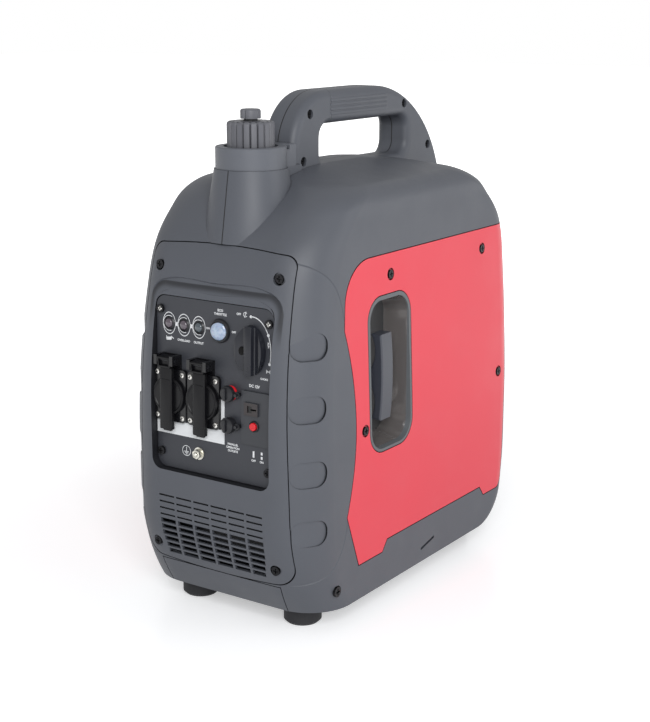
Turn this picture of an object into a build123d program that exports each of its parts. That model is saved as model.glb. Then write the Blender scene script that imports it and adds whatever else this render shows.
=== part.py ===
from build123d import *

import os
from math import asin, cos, degrees, pi, radians, sin, sqrt

# Portable inverter generator. Millimetres, +Z up, front (control panel) towards -Y,
# starter side towards +X. The origin is on the floor, at the middle of the length and width.

# ---- Body: two half housings around a lofted form ----------------------------------------
half_width = 118.5
half_length = 222.5
body_bottom = 24.0
crown_height = 465.0
wall = 3.0
ledge_depth = 2.5
cover_gap = 1.0
lean_start = 200.0
side_lean = 0.035
eave_radius = 20.0
eave_height = 432.0
eave_sweep = 80.0
wall_steps = 12
eave_steps = 5
slope_steps = 3
ridge_half_width = 20.0
front_corner_radius = 50.0
rear_corner_radius = 40.0
barrel_low = 130.0
barrel_high = 214.0
front_low_radius = 200.0
front_high_radius = 650.0
rear_low_radius = 400.0
rear_high_radius = 1500.0
rear_heel_radius = 36.0
heel_steps = 5
front_shoulder_start = 370.0
front_shoulder_reach = 100.0
rear_shoulder_start = 360.0
rear_shoulder_reach = 160.0
ledge_width = 8.0
ledge_lap = 3.0
groove_heights = (117.0, 178.5, 244.0, 305.5)
groove_height = 27.0
groove_length = 40.0
groove_depth = 2.3
groove_turn = 55.0
groove_deep_turn = 112.0
strap_slot_y = 16.0
strap_slot_z = 42.0
strap_slot_length = 30.0
strap_slot_height = 3.0
strap_slot_turn = 12.0

# ---- Carrying handle ---------------------------------------------------------------------
handle_top = 540.0
handle_half_width = 21.0
handle_wall = 4.5
handle_edge_radius = 9.0
handle_front = -101.0
handle_front_radius = 62.0
handle_rear_radius = 149.0
grip_depth = 35.0
handle_foot = 440.0
hand_gap_front = -50.0
hand_gap_rear = 122.0
hand_gap_radius = 14.0
handle_screw_places = [(-71.5, 517), (-83.5, 469.5), (114.5, 518), (168, 468)]

# ---- Fuel filler, collar and cap ---------------------------------------------------------
filler_y = -145.5
boss_top = 468.0
boss_top_radius = 37.4
boss_draft = 10.0
boss_depth = 90.0
collar_height = 22.0
collar_radius = 36.0
collar_bore_radius = 27.5
collar_tail_half_width = 24.0
neck_radius = 18.0
neck_bore_radius = 15.5
neck_top = 496.0
cap_radius = 24.15
cap_wall = 2.4
cap_bottom = 476.0
cap_top = 515.0
cap_rib_count = 24
gasket_thickness = 3.0
vent_knob_radius = 10.5
vent_knob_height = 11.5
collar_chamfer = 1.0
tank_front = -170.0
tank_rear = 98.0
tank_bottom = 352.0
tank_top = 430.0
tank_half_width = 84.0
tank_wall = 3.0
tank_fillet = 9.0
tank_neck_foot = 400.0
tank_spigot_x = -65.0
tank_spigot_y = 54.0
tank_spigot_length = 12.0
hose_bore_radius = 3.0
grommet_x = 74.0
grommet_radius = 7.0
grommet_height = 3.0
cradle_ys = (-120.0, 0.0)
cradle_half_width = 90.0
cradle_bar = 12.0
cradle_thickness = 6.0
cap_rib_depth = 1.2
cap_rib_width = 2.6
vent_stem_radius = 4.0
vent_stem_length = 10.0

# ---- Covers ------------------------------------------------------------------------------
cover_bottom_half_width = 96.0
cover_top_half_width = 88.5
cover_bottom = 61.5
cover_bottom_sag = 5.5
cover_top = 391.0
cover_top_rise = 5.0
cover_bottom_corner = 22.0
cover_top_corner = 13.0
cover_screw_places = [(75, 371), (77, 75.5)]
screw_recess_radius = 6.5
screw_recess_depth = 1.8

side_tip_y = -147.0
side_tip_high = 313.7
side_tip_low = 120.0
side_waist = 17.0
side_top = 380.0
side_rear_y = 195.0
side_bottom = 62.0
side_top_corner = 46.0
side_rear_corner = 38.0
side_bottom_corner = 15.0
side_notch_front = -70.0
side_notch_rear = 136.0
side_notch_depth = 12.0
side_heel = 22.0
side_heel_corner = 14.0
side_bow = 5.0
side_screw_places = [(-59.5, 358), (137, 357.5), (175.5, 206.5), (-113.5, 204)]

# ---- Control panel -----------------------------------------------------------------------
panel_opening_half_width = 75.0
panel_opening_bottom = 160.0
panel_opening_top = 342.0
panel_opening_radius = 12.0
panel_tilt = 1.6
panel_face_y = -211.5
panel_thickness = 2.5
rim_thickness = 2.2

# ---- Front of the panel ------------------------------------------------------------------
rim_behind = 8.0
cove_reach = 7.0
cove_depth = 2.2
cove_step = 1.6
cove_places = [(80, 302, 2.6), (80.5, 325, 1.2), (76, 344, 0.2), (62, 352, 0), (0, 353, 0)]
panel_tab = 12.0
panel_tab_x = 68.5
panel_screw_low = 177.0
panel_screw_high = 327.0
indicator_xs = (-57.8, -38.5, -19.2)
indicator_z = 313.0
ring_radius = 9.0
ring_height = 2.0
lens_radius = 5.6
eco_x = 8.0
eco_bezel_radius = 11.5
eco_bore_radius = 9.2
eco_bezel_height = 2.5
eco_body_depth = 16.0
eco_wall = 1.2
eco_pivot_gap = 0.25
eco_rocker_drop = 1.0
eco_rocker_radius = 7.4
eco_tilt = 8.0
knob_x = 47.5
knob_z = 298.6
knob_gap = 0.5
knob_radius = 22.0
knob_base_height = 8.0
knob_ridge_width = 12.0
knob_ridge_height = 12.0
spindle_radius = 5.0
switch_body_width = 34.0
switch_body_depth = 22.0

# ---- Mains sockets -----------------------------------------------------------------------
socket_xs = (-54.1, -11.1)
socket_z = 239.0
socket_width = 40.6
socket_height = 55.0
socket_flange = 4.0
socket_body_radius = 19.3
socket_body_depth = 26.0
socket_recess_radius = 18.0
socket_recess_depth = 17.5
pin_spacing = 19.0
pin_hole_radius = 2.5
pin_hole_depth = 8.0
lid_gap = 0.3
lid_radius = 19.8
lid_thickness = 4.0
lid_band = 16.0
lid_band_rise = 4.0
lid_tab_reach = 35.0
lid_hinge_rise = 38.0
lid_hinge_out = 11.0
barrel_radius = 5.0
ear_width = 4.0
lid_pin_radius = 1.5
label_left = -74.2
label_right = 13.5
label_low = 197.0
label_high = 243.0
label_thickness = 0.6

# ---- Jacks, 12 V outlet and ground terminal ----------------------------------------------
jack_x = 22.0
jack_zs = (252.0, 219.5)
jack_collar_radius = 7.0
jack_collar_height = 4.0
jack_body_radius = 6.0
jack_body_depth = 18.0
jack_bore_radius = 2.9
jack_bore_depth = 16.0
jack_cap_radius = 8.4
jack_cap_thickness = 4.0
tether_reach = 10.6
tether_width = 4.0
tether_eye_radius = 3.2
tether_post_radius = 1.6
dc_x = 53.5
dc_z = 230.0
dc_width = 34.6
dc_height = 54.5
dc_thickness = 2.5
dc_body_depth = 24.0
dc_socket_x = 49.3
dc_socket_z = 239.6
dc_socket_width = 17.0
dc_socket_height = 13.0
dc_socket_rise = 2.0
dc_slot_depth = 14.0
breaker_x = 52.5
breaker_z = 222.6
breaker_radius = 4.0
breaker_rise = 3.5
breaker_length = 9.0
breaker_travel = 2.0
ground_x = -19.0
ground_z = 182.0
ground_washer_radius = 6.5
ground_washer_height = 1.2
ground_hex_radius = 5.2
ground_hex_height = 4.0
ground_stud_radius = 2.5
ground_stud_out = 3.0
ground_stud_in = 12.0

# ---- Rear cover --------------------------------------------------------------------------
louvre_rows = 9
louvre_top = 165.0
louvre_pitch = 10.0
louvre_length = 60.0
louvre_height = 4.0
outlet_x = -30.0
outlet_z = 245.0
outlet_radius = 15.0
outlet_gap = 3.0
outlet_wall = 1.5

# ---- Air grille --------------------------------------------------------------------------
grille_columns = 6
grille_rows = 10
grille_blind_rows = 4
grille_top = 135.5
grille_half_width = 68.0
grille_pitch = 7.15
grille_trim = 1.2
slot_height = 5.0
grille_rib = 2.8
blind_height = 1.8
blind_depth = 2.2

# ---- Feet and base -----------------------------------------------------------------------
foot_radius = 20.0
front_foot = (68.0, -155.0)
rear_foot = (70.0, 154.0)
base_thickness = 6.0
lip_half_width = 74.0
lip_top = 55.0
lip_slant = 3.0
foot_chamfer = 3.0
foot_recess_radius = 8.0
foot_recess_depth = 6.0
base_vent_x = 40.0
base_vent_pitch = 14.0
base_vent_rows = 5
base_vent_length = 34.0
base_vent_width = 5.0

# ---- Screws ------------------------------------------------------------------------------
screw_radius = 2.0
screw_gap = 0.15
screw_head_radius = 4.5
screw_head_height = 2.4
screw_length = 8.0
handle_recess_radius = 5.0
base_screw_ys = (-165.0,)
base_screw_z = 46.0

# ---- Starter -----------------------------------------------------------------------------
window_y = -63.0
window_width = 77.0
window_bottom = 177.0
window_top = 335.0
window_corner = 22.0
bezel_width = 3.0
pocket_depth = 31.0
pocket_wall = 2.0
rope_height = 250.0
rope_radius = 2.0
reel_radius = 42.0
reel_width = 18.0
grip_height = 92.0
grip_width = 22.0
grip_thickness = 13.0
bezel_back = 2.0
guide_radius = 5.0
guide_lip = 2.0
pocket_taper = 14.0
grip_clear = 10.0
grip_bow = 2.5
grip_notch = 5.0
grip_stem_half = 9.0
grip_stem_radius = 5.5
grip_fillet = 2.0
rope_start_x = 3.0
drum_radius = 35.0
reel_flange = 2.0
cup_radius = 50.0
cup_wall = 2.5
post_radius = 8.0
spring_width = 3.0
shroud_radius = 79.0
fan_eye_radius = 40.0

# ---- Engine ------------------------------------------------------------------------------
crank_radius = 10.0
crankcase_half_width = 60.0
crankcase_front = 10.0
crankcase_rear = 98.0
crankcase_bottom = 60.0
crankcase_top = 262.0
crankcase_wall = 7.0
bore_radius = 26.0
cylinder_radius = 34.0
cylinder_height = 44.0
fin_count = 7
fin_reach = 14.0
head_height = 18.0
web_front = 30.0
web_rear = 78.0
web_thickness = 14.0
web_radius = 34.0
crank_throw = 19.0
crank_pin_radius = 9.0
fan_width = 18.0
fan_radius = 66.0
fan_hub_radius = 30.0
fan_plate = 2.5
fan_blade = 2.0
fan_blades = 14
rotor_radius = 58.0
rotor_rim = 8.0
rotor_plate = 4.0
stator_bore_radius = 18.0
stator_slots = 12
bearing_radius = 21.0
fin_thickness = 2.0
rocker_clearance = 6.0
plug_x = 18.0
plug_reach = 12.0
plug_boss = 3.0
head_flange = 6.0
fin_corner = 8.0
plug_radius = 6.0
mount_x = 46.0
mount_radius = 11.0
carb_flange = 4.0
carb_length = 26.0
carb_spigot = 12.0
bowl_radius = 12.0
cleaner_length = 88.0
cleaner_height = 90.0
cleaner_width = 27.0
muffler_front = 122.0
muffler_length = 66.0
muffler_bottom = 150.0
muffler_top = 325.0
muffler_half_width = 74.0
muffler_wall = 2.5
pipe_radius = 9.0
bracket_z = 190.0
inverter_front = -180.0
inverter_rear = -95.0
inverter_half_width = 84.0
inverter_height = 95.0
inverter_fins = 20
inverter_fin_gap = 4.0
inverter_fin_depth = 30.0
running_clearance = 0.05
soft_gap = 0.3

crank_height = rope_height - drum_radius - 3 * rope_radius - soft_gap
handle_arc_y = 207.0 - handle_rear_radius
panel_middle = (panel_opening_bottom + panel_opening_top) / 2


def bow(height, low, high, low_radius, high_radius):
    """How far an upright face curves inwards at a height: a flat band between two arcs."""
    if height < low:
        return low_radius - sqrt(low_radius**2 - (low - height) ** 2)
    if height > high:
        return high_radius - sqrt(high_radius**2 - (height - high) ** 2)
    return 0.0


def shoulder(height, start, reach, inset):
    """How far a rounded shoulder has come in at a height, as a quarter ellipse."""
    rise = min(1.0, max(0.0, (height - start) / (crown_height - inset - start)))
    return reach * (1 - cos(asin(rise)))


def heel(height, inset):
    """How far the rounded lower edge of the back has come in at a height, as a quarter circle."""
    radius = rear_heel_radius - inset
    drop = max(0.0, body_bottom + rear_heel_radius - height)
    return radius - sqrt(radius**2 - min(drop, radius) ** 2)


def front_face(height, inset=0.0):
    curve = bow(height, barrel_low, barrel_high, front_low_radius, front_high_radius)
    return -half_length + inset + curve + shoulder(height, front_shoulder_start, front_shoulder_reach, inset)


def rear_face(height, inset=0.0):
    curve = bow(height, barrel_low, barrel_high, rear_low_radius, rear_high_radius)
    corners = heel(height, inset) + shoulder(height, rear_shoulder_start, rear_shoulder_reach, inset)
    return half_length - inset - curve - corners


def side_face(height, inset=0.0):
    return half_width - inset - side_lean * max(0.0, height - lean_start)


def body_outline(inset):
    """Heights and half widths up the side and round the eave, then up the sloping top."""
    floor = body_bottom + inset
    heel_radius = rear_heel_radius - inset
    heel_top = floor + heel_radius
    sides = []
    for step in range(heel_steps):
        height = heel_top - heel_radius * cos(radians(90 * step / heel_steps))
        sides.append((height, side_face(height, inset)))
    for step in range(wall_steps + 1):
        height = heel_top + (eave_height - heel_top) * step / wall_steps
        sides.append((height, side_face(height, inset)))
    turn = eave_radius - inset
    centre = side_face(eave_height, inset) - turn
    for step in range(1, eave_steps + 1):
        angle = radians(eave_sweep * step / eave_steps)
        sides.append((eave_height + turn * sin(angle), centre + turn * cos(angle)))
    eave_top, eave_width = sides[-1]
    slopes = []
    for step in range(slope_steps + 1):
        share = step / slope_steps
        height = eave_top + (crown_height - inset - eave_top) * share
        slopes.append((height, eave_width + (ridge_half_width - eave_width) * share))
    return sides, slopes


def plan_section(height, width, inset):
    """The body's rounded plan at one height."""
    front = front_face(height, inset)
    rear = rear_face(height, inset)
    with BuildSketch(Plane.XY.offset(height)) as section:
        with Locations((0, (front + rear) / 2)):
            Rectangle(2 * width, rear - front)
        fillet(section.vertices().group_by(Axis.Y)[0], min(front_corner_radius - inset, width - 2))
        fillet(section.vertices().group_by(Axis.Y)[-1], min(rear_corner_radius - inset, width - 2))
    return section.sketch


def body_form(inset):
    """The whole closed body with every face moved inwards by inset."""
    sides, slopes = body_outline(inset)
    with BuildPart() as form:
        loft([plan_section(height, width, inset) for height, width in sides])
        loft([plan_section(height, width, inset) for height, width in slopes], ruled=True)
    return form.part


def end_cover_outline(gap, plane):
    """Outline of the front or rear cover: straight sides, bowed top and bottom, round corners."""
    low = cover_bottom_half_width + gap
    high = cover_top_half_width + gap
    bottom = cover_bottom - gap
    top = cover_top + gap
    with BuildSketch(plane) as outline:
        with BuildLine():
            ThreePointArc((-low, bottom), (0, bottom - cover_bottom_sag), (low, bottom))
            Line((low, bottom), (high, top))
            ThreePointArc((high, top), (0, top + cover_top_rise), (-high, top))
            Line((-high, top), (-low, bottom))
        make_face()
        fillet(vertices().filter_by(lambda v: v.Y < bottom + 1), cover_bottom_corner)
        fillet(vertices().filter_by(lambda v: v.Y > top - 1), cover_top_corner)
    return outline.sketch


def side_cover_outline(gap):
    """Outline of a side cover on the YZ plane: waisted front edge and a step in the bottom."""
    front = side_tip_y - gap
    rear = side_rear_y + gap
    bottom = side_bottom - gap
    top = side_top + gap
    middle = (side_tip_high + side_tip_low) / 2
    heel = front + side_heel
    step_run = 0.8 * side_notch_depth
    notch_front = side_notch_front + 0.5 * gap
    notch_rear = side_notch_rear - 0.5 * gap
    notch_top = bottom + side_notch_depth
    with BuildSketch(Plane.YZ) as outline:
        with BuildLine():
            ThreePointArc((front, side_tip_high), (front + side_waist, middle), (front, side_tip_low))
            Polyline(
                (front, side_tip_low),
                (heel, bottom),
                (notch_front - step_run, bottom),
                (notch_front, notch_top),
                (notch_rear, notch_top),
                (notch_rear + step_run, bottom),
                (rear - side_bow, bottom),
            )
            ThreePointArc((rear - side_bow, bottom), (rear, middle), (rear - side_bow, top))
            Polyline((rear - side_bow, top), (front + side_bow, top), (front, side_tip_high))
        make_face()
        top_corners = vertices().filter_by(lambda v: v.Y > top - 1).sort_by(Axis.X)
        fillet(top_corners[0], side_top_corner)
        fillet(top_corners[-1], side_rear_corner)
        bottom_corners = vertices().filter_by(lambda v: v.Y < bottom + 1).sort_by(Axis.X)
        fillet(bottom_corners[-1], side_bottom_corner)
        fillet(bottom_corners[0], side_heel_corner)
    return outline.sketch


def window_sketch(grow, plane):
    """The starter window's outline on a plane that faces +X, grown outwards by grow."""
    with BuildSketch(plane) as outline:
        with Locations((window_y, (window_bottom + window_top) / 2)):
            width = window_width + 2 * grow
            height = window_top - window_bottom + 2 * grow
            RectangleRounded(width, height, window_corner + grow)
    return outline.sketch


def facing_front(x, y, z):
    return Plane(origin=(x, y, z), x_dir=(1, 0, 0), z_dir=(0, -1, 0))


def facing_rear(x, y, z):
    return Plane(origin=(x, y, z), x_dir=(-1, 0, 0), z_dir=(0, 1, 0))


def facing_side(x, y, z):
    side = 1 if x > 0 else -1
    return Plane(origin=(x, y, z), x_dir=(0, side, 0), z_dir=(side, 0, 0))


def screw_group(seats, head_radius=screw_head_radius, length=screw_length):
    """Cross-head screws whose heads rest on the given seats."""
    with BuildPart() as group:
        for seat in seats:
            with BuildSketch(seat):
                Circle(head_radius)
            extrude(amount=screw_head_height)
            with BuildSketch(seat):
                Circle(screw_radius)
            extrude(amount=-length)
            with BuildSketch(seat.offset(screw_head_height)):
                Rectangle(1.3 * head_radius, 0.3 * head_radius)
                Rectangle(0.3 * head_radius, 1.3 * head_radius)
            extrude(amount=-0.6 * screw_head_height, mode=Mode.SUBTRACT)
    return group.part


def screw_holes(seats, recess_radius, length=screw_length):
    """What the screws' recesses and clearance holes remove, with room past each end."""
    with BuildPart() as cuts:
        for seat in seats:
            with BuildSketch(seat):
                Circle(recess_radius)
            extrude(amount=20)
            with BuildSketch(seat):
                Circle(screw_radius + screw_gap)
            extrude(amount=-length - 2)
    return cuts.part


def finish(piece, name):
    """Labels a finished piece and writes its file."""
    piece.label = name
    export_step(piece, f"parts/{name}.step")


os.makedirs("parts", exist_ok=True)

outer_form = body_form(0)
inner_form = body_form(wall)
ledge_form = body_form(wall + ledge_depth)
reach = half_length + 60
both_sides = (1, -1)

# ---- Screw seats on the covers --------------------------------------------------------------
front_cover_seats = []
for x, z in cover_screw_places:
    corner_start = side_face(z) - front_corner_radius
    curve = front_corner_radius - sqrt(front_corner_radius**2 - max(0, x - corner_start) ** 2)
    for side in both_sides:
        front_cover_seats.append(facing_front(side * x, front_face(z) + curve + screw_recess_depth, z))
rear_cover_seats = []
for x, z in cover_screw_places:
    corner_start = side_face(z) - rear_corner_radius
    curve = rear_corner_radius - sqrt(rear_corner_radius**2 - max(0, x - corner_start) ** 2)
    for side in both_sides:
        rear_cover_seats.append(facing_rear(side * x, rear_face(z) - curve - screw_recess_depth, z))
right_cover_seats = []
left_cover_seats = []
for y, z in side_screw_places:
    right_cover_seats.append(facing_side(side_face(z) - screw_recess_depth, y, z))
    left_cover_seats.append(facing_side(screw_recess_depth - side_face(z), y, z))
right_handle_seats = [facing_side(handle_half_width - 5, y, z) for y, z in handle_screw_places]
base_seats = []
for side in both_sides:
    for y in base_screw_ys:
        base_seats.append(facing_side(side * (side_face(base_screw_z) - screw_recess_depth), y, base_screw_z))

# ---- Ledges: a rim of the housing behind the edge of each cover -----------------------------
with BuildPart() as end_ledges:
    add(inner_form)
    add(ledge_form, mode=Mode.SUBTRACT)
    extrude(end_cover_outline(ledge_lap, Plane.XZ), amount=reach, both=True, mode=Mode.INTERSECT)
    extrude(end_cover_outline(-ledge_width, Plane.XZ), amount=reach, both=True, mode=Mode.SUBTRACT)
with BuildPart() as side_ledges:
    add(inner_form)
    add(ledge_form, mode=Mode.SUBTRACT)
    extrude(side_cover_outline(ledge_lap), amount=reach, both=True, mode=Mode.INTERSECT)
    extrude(side_cover_outline(-ledge_width), amount=reach, both=True, mode=Mode.SUBTRACT)

# ---- Base: a tray that closes the bottom, with a lip under the front cover ------------------
base_front = front_face(body_bottom) + wall
base_rear = rear_face(body_bottom) - wall


def base_sketch(gap):
    with BuildSketch(Plane.XY.offset(body_bottom)) as outline:
        with Locations((0, (base_front + base_rear) / 2)):
            Rectangle(2 * (half_width - wall - gap), base_rear - base_front - 2 * gap)
        fillet(vertices().group_by(Axis.Y)[0], front_corner_radius - wall)
        fillet(vertices().group_by(Axis.Y)[-1], rear_corner_radius - wall)
    return outline.sketch


def lip_prism(gap):
    """Slanted-sided block ahead of the base that the front lip is cut from."""
    low = lip_half_width + gap
    high = low + lip_slant
    with BuildPart() as prism:
        with BuildSketch(Plane.XZ.offset(-base_front - 3)):
            with BuildLine():
                Polyline((-low, 0), (low, 0), (high, lip_top + gap), (-high, lip_top + gap), close=True)
            make_face()
        extrude(amount=reach)
    return prism.part


with BuildPart() as base_pan:
    add(outer_form)
    add(inner_form, mode=Mode.SUBTRACT)
    add(lip_prism(0), mode=Mode.INTERSECT)
    extrude(base_sketch(cover_gap), amount=base_thickness)
    with BuildSketch(Plane.XY.offset(body_bottom)):
        with Locations((0, base_front)):
            Rectangle(2 * lip_half_width - 8, 5)
    extrude(amount=base_thickness)
    with BuildSketch(Plane.XY.offset(body_bottom)):
        with GridLocations(2 * base_vent_x, base_vent_pitch, 2, base_vent_rows):
            SlotOverall(base_vent_length, base_vent_width)
    extrude(amount=base_thickness, mode=Mode.SUBTRACT)
    foot_places = [(side * x, y) for x, y in (front_foot, rear_foot) for side in both_sides]
    with Locations(*[(x, y, body_bottom) for x, y in foot_places]):
        Hole(screw_radius + screw_gap, depth=2 * base_thickness)
finish(base_pan.part, "base_pan")

with BuildPart() as feet:
    for x, y in foot_places:
        with BuildSketch(Plane.XY):
            with Locations((x, y)):
                Circle(foot_radius - foot_chamfer)
        with BuildSketch(Plane.XY.offset(foot_chamfer)):
            with Locations((x, y)):
                Circle(foot_radius)
        loft()
        with BuildSketch(Plane.XY.offset(foot_chamfer)):
            with Locations((x, y)):
                Circle(foot_radius)
        extrude(amount=body_bottom - foot_chamfer)
        with BuildSketch(Plane.XY):
            with Locations((x, y)):
                Circle(foot_recess_radius)
        extrude(amount=foot_recess_depth, mode=Mode.SUBTRACT)
        with BuildSketch(Plane.XY):
            with Locations((x, y)):
                Circle(screw_radius + screw_gap)
        extrude(amount=body_bottom, mode=Mode.SUBTRACT)
finish(feet.part, "rubber_feet")

foot_seats = [
    Plane(origin=(x, y, foot_recess_depth), x_dir=(1, 0, 0), z_dir=(0, 0, -1)) for x, y in foot_places
]
finish(screw_group(foot_seats, foot_recess_radius - 2, body_bottom), "foot_screws")

# ---- Handle: a hollow arch along the top of both housings -----------------------------------
def handle_profile(inset):
    """Side view of the handle on the YZ plane, moved in by inset."""
    top = handle_top - inset
    front = handle_front + inset
    arc_radius = handle_rear_radius - inset
    arc_z = handle_top - handle_rear_radius
    turn = handle_front_radius - inset
    slant = radians(45)
    with BuildSketch(Plane.YZ) as profile:
        with BuildLine():
            Line((front, handle_foot), (front, top - turn))
            ThreePointArc(
                (front, top - turn),
                (front + turn * (1 - cos(slant)), top - turn + turn * sin(slant)),
                (front + turn, top),
            )
            Line((front + turn, top), (handle_arc_y, top))
            ThreePointArc(
                (handle_arc_y, top),
                (handle_arc_y + arc_radius * sin(slant), arc_z + arc_radius * cos(slant)),
                (handle_arc_y + arc_radius, arc_z),
            )
            Line((handle_arc_y + arc_radius, arc_z), (handle_arc_y, arc_z))
            Line((handle_arc_y, arc_z), (front, handle_foot))
        make_face()
        gap_top = handle_top - grip_depth + inset
        gap_bottom = crown_height - 3 - inset
        with Locations(((hand_gap_front + hand_gap_rear) / 2, (gap_top + gap_bottom) / 2)):
            gap_width = hand_gap_rear - hand_gap_front + 2 * inset
            RectangleRounded(gap_width, gap_top - gap_bottom, hand_gap_radius + inset, mode=Mode.SUBTRACT)
    return profile.sketch


with BuildPart() as handle:
    extrude(handle_profile(0), amount=handle_half_width, both=True)
    outer_edges = faces().filter_by(Axis.X).edges()
    fillet(outer_edges, handle_edge_radius)
with BuildPart() as handle_hollow:
    extrude(handle_profile(handle_wall), amount=handle_half_width - handle_wall, both=True)
    add(outer_form, mode=Mode.SUBTRACT)

# ---- Housing: body skin, filler boss and handle, split down the middle ----------------------
boss_bottom_radius = boss_top_radius + boss_depth * sin(radians(boss_draft))
# ---- Finger grooves round the front corners: shallow pockets that fade out at the cover -----
with BuildPart() as grooves:
    for height in groove_heights:
        centre_x = side_face(height) - front_corner_radius
        centre_y = front_face(height) + front_corner_radius
        out = Vector(sin(radians(groove_turn)), -cos(radians(groove_turn)), 0)
        along = Vector(cos(radians(groove_turn)), sin(radians(groove_turn)), 0)
        with BuildSketch(Plane(Vector(centre_x, centre_y, height) + out * 30, x_dir=along, z_dir=out)):
            RectangleRounded(groove_length, groove_height, 0.45 * groove_height)
        extrude(amount=40)
        with Locations((
            centre_x - groove_depth * sin(radians(groove_deep_turn)),
            centre_y + groove_depth * cos(radians(groove_deep_turn)),
            height,
        )):
            Cylinder(front_corner_radius, 2 * groove_height, mode=Mode.SUBTRACT)
    mirror(about=Plane.YZ)

with BuildPart() as housing:
    add(outer_form)
    add(handle.part)
    with Locations((0, filler_y, boss_top - boss_depth / 2)):
        Cone(boss_bottom_radius, boss_top_radius, boss_depth)
    with BuildSketch(Plane.XY.offset(boss_top)):
        with Locations((0, (filler_y + handle_front) / 2)):
            Rectangle(2 * collar_tail_half_width, handle_front - filler_y + 20)
    extrude(amount=-30)
    add(inner_form, mode=Mode.SUBTRACT)
    add(handle_hollow.part, mode=Mode.SUBTRACT)
    with Locations((0, filler_y, boss_top - wall - boss_depth / 2)):
        Cone(boss_bottom_radius - wall, boss_top_radius - wall, boss_depth, mode=Mode.SUBTRACT)
    with Locations((0, filler_y, boss_top)):
        Cylinder(neck_radius + 1, 4 * wall, mode=Mode.SUBTRACT)
    extrude(end_cover_outline(cover_gap, Plane.XZ), amount=reach, both=True, mode=Mode.SUBTRACT)
    extrude(side_cover_outline(cover_gap), amount=reach, both=True, mode=Mode.SUBTRACT)
    extrude(base_sketch(0), amount=wall, mode=Mode.SUBTRACT)
    add(lip_prism(cover_gap), mode=Mode.SUBTRACT)
    add(end_ledges.part)
    add(side_ledges.part)
    for seats in (front_cover_seats, rear_cover_seats, right_cover_seats, left_cover_seats):
        add(screw_holes(seats, screw_radius + screw_gap), mode=Mode.SUBTRACT)
    add(screw_holes(right_handle_seats, handle_recess_radius), mode=Mode.SUBTRACT)
    add(screw_holes(base_seats, screw_recess_radius), mode=Mode.SUBTRACT)
    add(grooves.part, mode=Mode.SUBTRACT)
    with BuildSketch(Plane.YZ):
        with Locations((strap_slot_y, strap_slot_z)):
            SlotOverall(strap_slot_length, strap_slot_height, rotation=strap_slot_turn)
    extrude(amount=reach, both=True, mode=Mode.SUBTRACT)
right_housing = split(housing.part, bisect_by=Plane.YZ, keep=Keep.TOP)
left_housing = split(housing.part, bisect_by=Plane.YZ, keep=Keep.BOTTOM)
finish(right_housing, "right_housing")
finish(left_housing, "left_housing")

# ---- Filler collar on the boss, with a notch for the cap's strap ----------------------------
with BuildPart() as filler_collar:
    with BuildSketch(Plane.XY.offset(boss_top)):
        with Locations((0, filler_y)):
            Circle(collar_radius)
        with Locations((0, (filler_y + handle_front) / 2)):
            Rectangle(2 * collar_tail_half_width, handle_front - filler_y)
        with Locations((0, filler_y)):
            Circle(collar_bore_radius, mode=Mode.SUBTRACT)
    extrude(amount=collar_height)
    with Locations((collar_tail_half_width, handle_front - 14, boss_top + collar_height)):
        Box(12, 5, 10, mode=Mode.SUBTRACT)
    chamfer(filler_collar.faces().sort_by(Axis.Z)[-1].outer_wire().edges(), collar_chamfer)
finish(filler_collar.part, "filler_collar")

# ---- Fuel tank: a moulded block under the crown with a neck through the boss ----------------
with BuildPart() as fuel_tank:
    with BuildSketch(Plane.YZ):
        with BuildLine():
            Polyline(
                (tank_front, tank_bottom),
                (tank_front, tank_bottom + 40),
                (tank_front + 32, tank_top),
                (tank_rear - 38, tank_top),
                (tank_rear, tank_bottom + 43),
                (tank_rear, tank_bottom),
                close=True,
            )
        make_face()
        fillet(vertices(), tank_fillet)
    extrude(amount=tank_half_width, both=True)
    fillet(fuel_tank.faces().filter_by(Axis.X).edges(), tank_fillet)
    with Locations((0, filler_y, (tank_neck_foot + neck_top) / 2)):
        Cylinder(neck_radius, neck_top - tank_neck_foot)
    with BuildSketch(Plane.YZ):
        with BuildLine():
            Polyline(
                (tank_front + tank_wall, tank_bottom + tank_wall),
                (tank_front + tank_wall, tank_bottom + 39),
                (tank_front + 33, tank_top - tank_wall),
                (tank_rear - 39, tank_top - tank_wall),
                (tank_rear - tank_wall, tank_bottom + 42),
                (tank_rear - tank_wall, tank_bottom + tank_wall),
                close=True,
            )
        make_face()
    extrude(amount=tank_half_width - 3 * tank_wall, both=True, mode=Mode.SUBTRACT)
    with Locations((0, filler_y, neck_top)):
        Hole(neck_bore_radius, depth=neck_top - tank_bottom - 2 * tank_wall)
    with Locations((tank_spigot_x, tank_spigot_y, tank_bottom - tank_spigot_length / 2)):
        Cylinder(hose_bore_radius, tank_spigot_length)
finish(fuel_tank.part, "fuel_tank")


# ---- Tank cradle: two portal frames that stand on the base, joined by side rails -----------
cradle_top = tank_bottom - grommet_height
cradle_low = body_bottom + base_thickness
rail_middle = (cradle_ys[0] + cradle_ys[-1]) / 2
rail_length = cradle_ys[-1] - cradle_ys[0] + cradle_bar
rail_x = cradle_half_width - cradle_thickness / 2
with BuildPart() as tank_cradle:
    for y in cradle_ys:
        with Locations((0, y, cradle_top - cradle_thickness / 2)):
            Box(2 * cradle_half_width, cradle_bar, cradle_thickness)
    for side in both_sides:
        with Locations((side * rail_x, rail_middle, cradle_top - cradle_thickness / 2)):
            Box(cradle_thickness, rail_length, cradle_thickness)
        for y in cradle_ys:
            with Locations((side * rail_x, y, (cradle_top + cradle_low) / 2)):
                Box(cradle_thickness, cradle_bar, cradle_top - cradle_low)
finish(tank_cradle.part, "tank_cradle")

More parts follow.
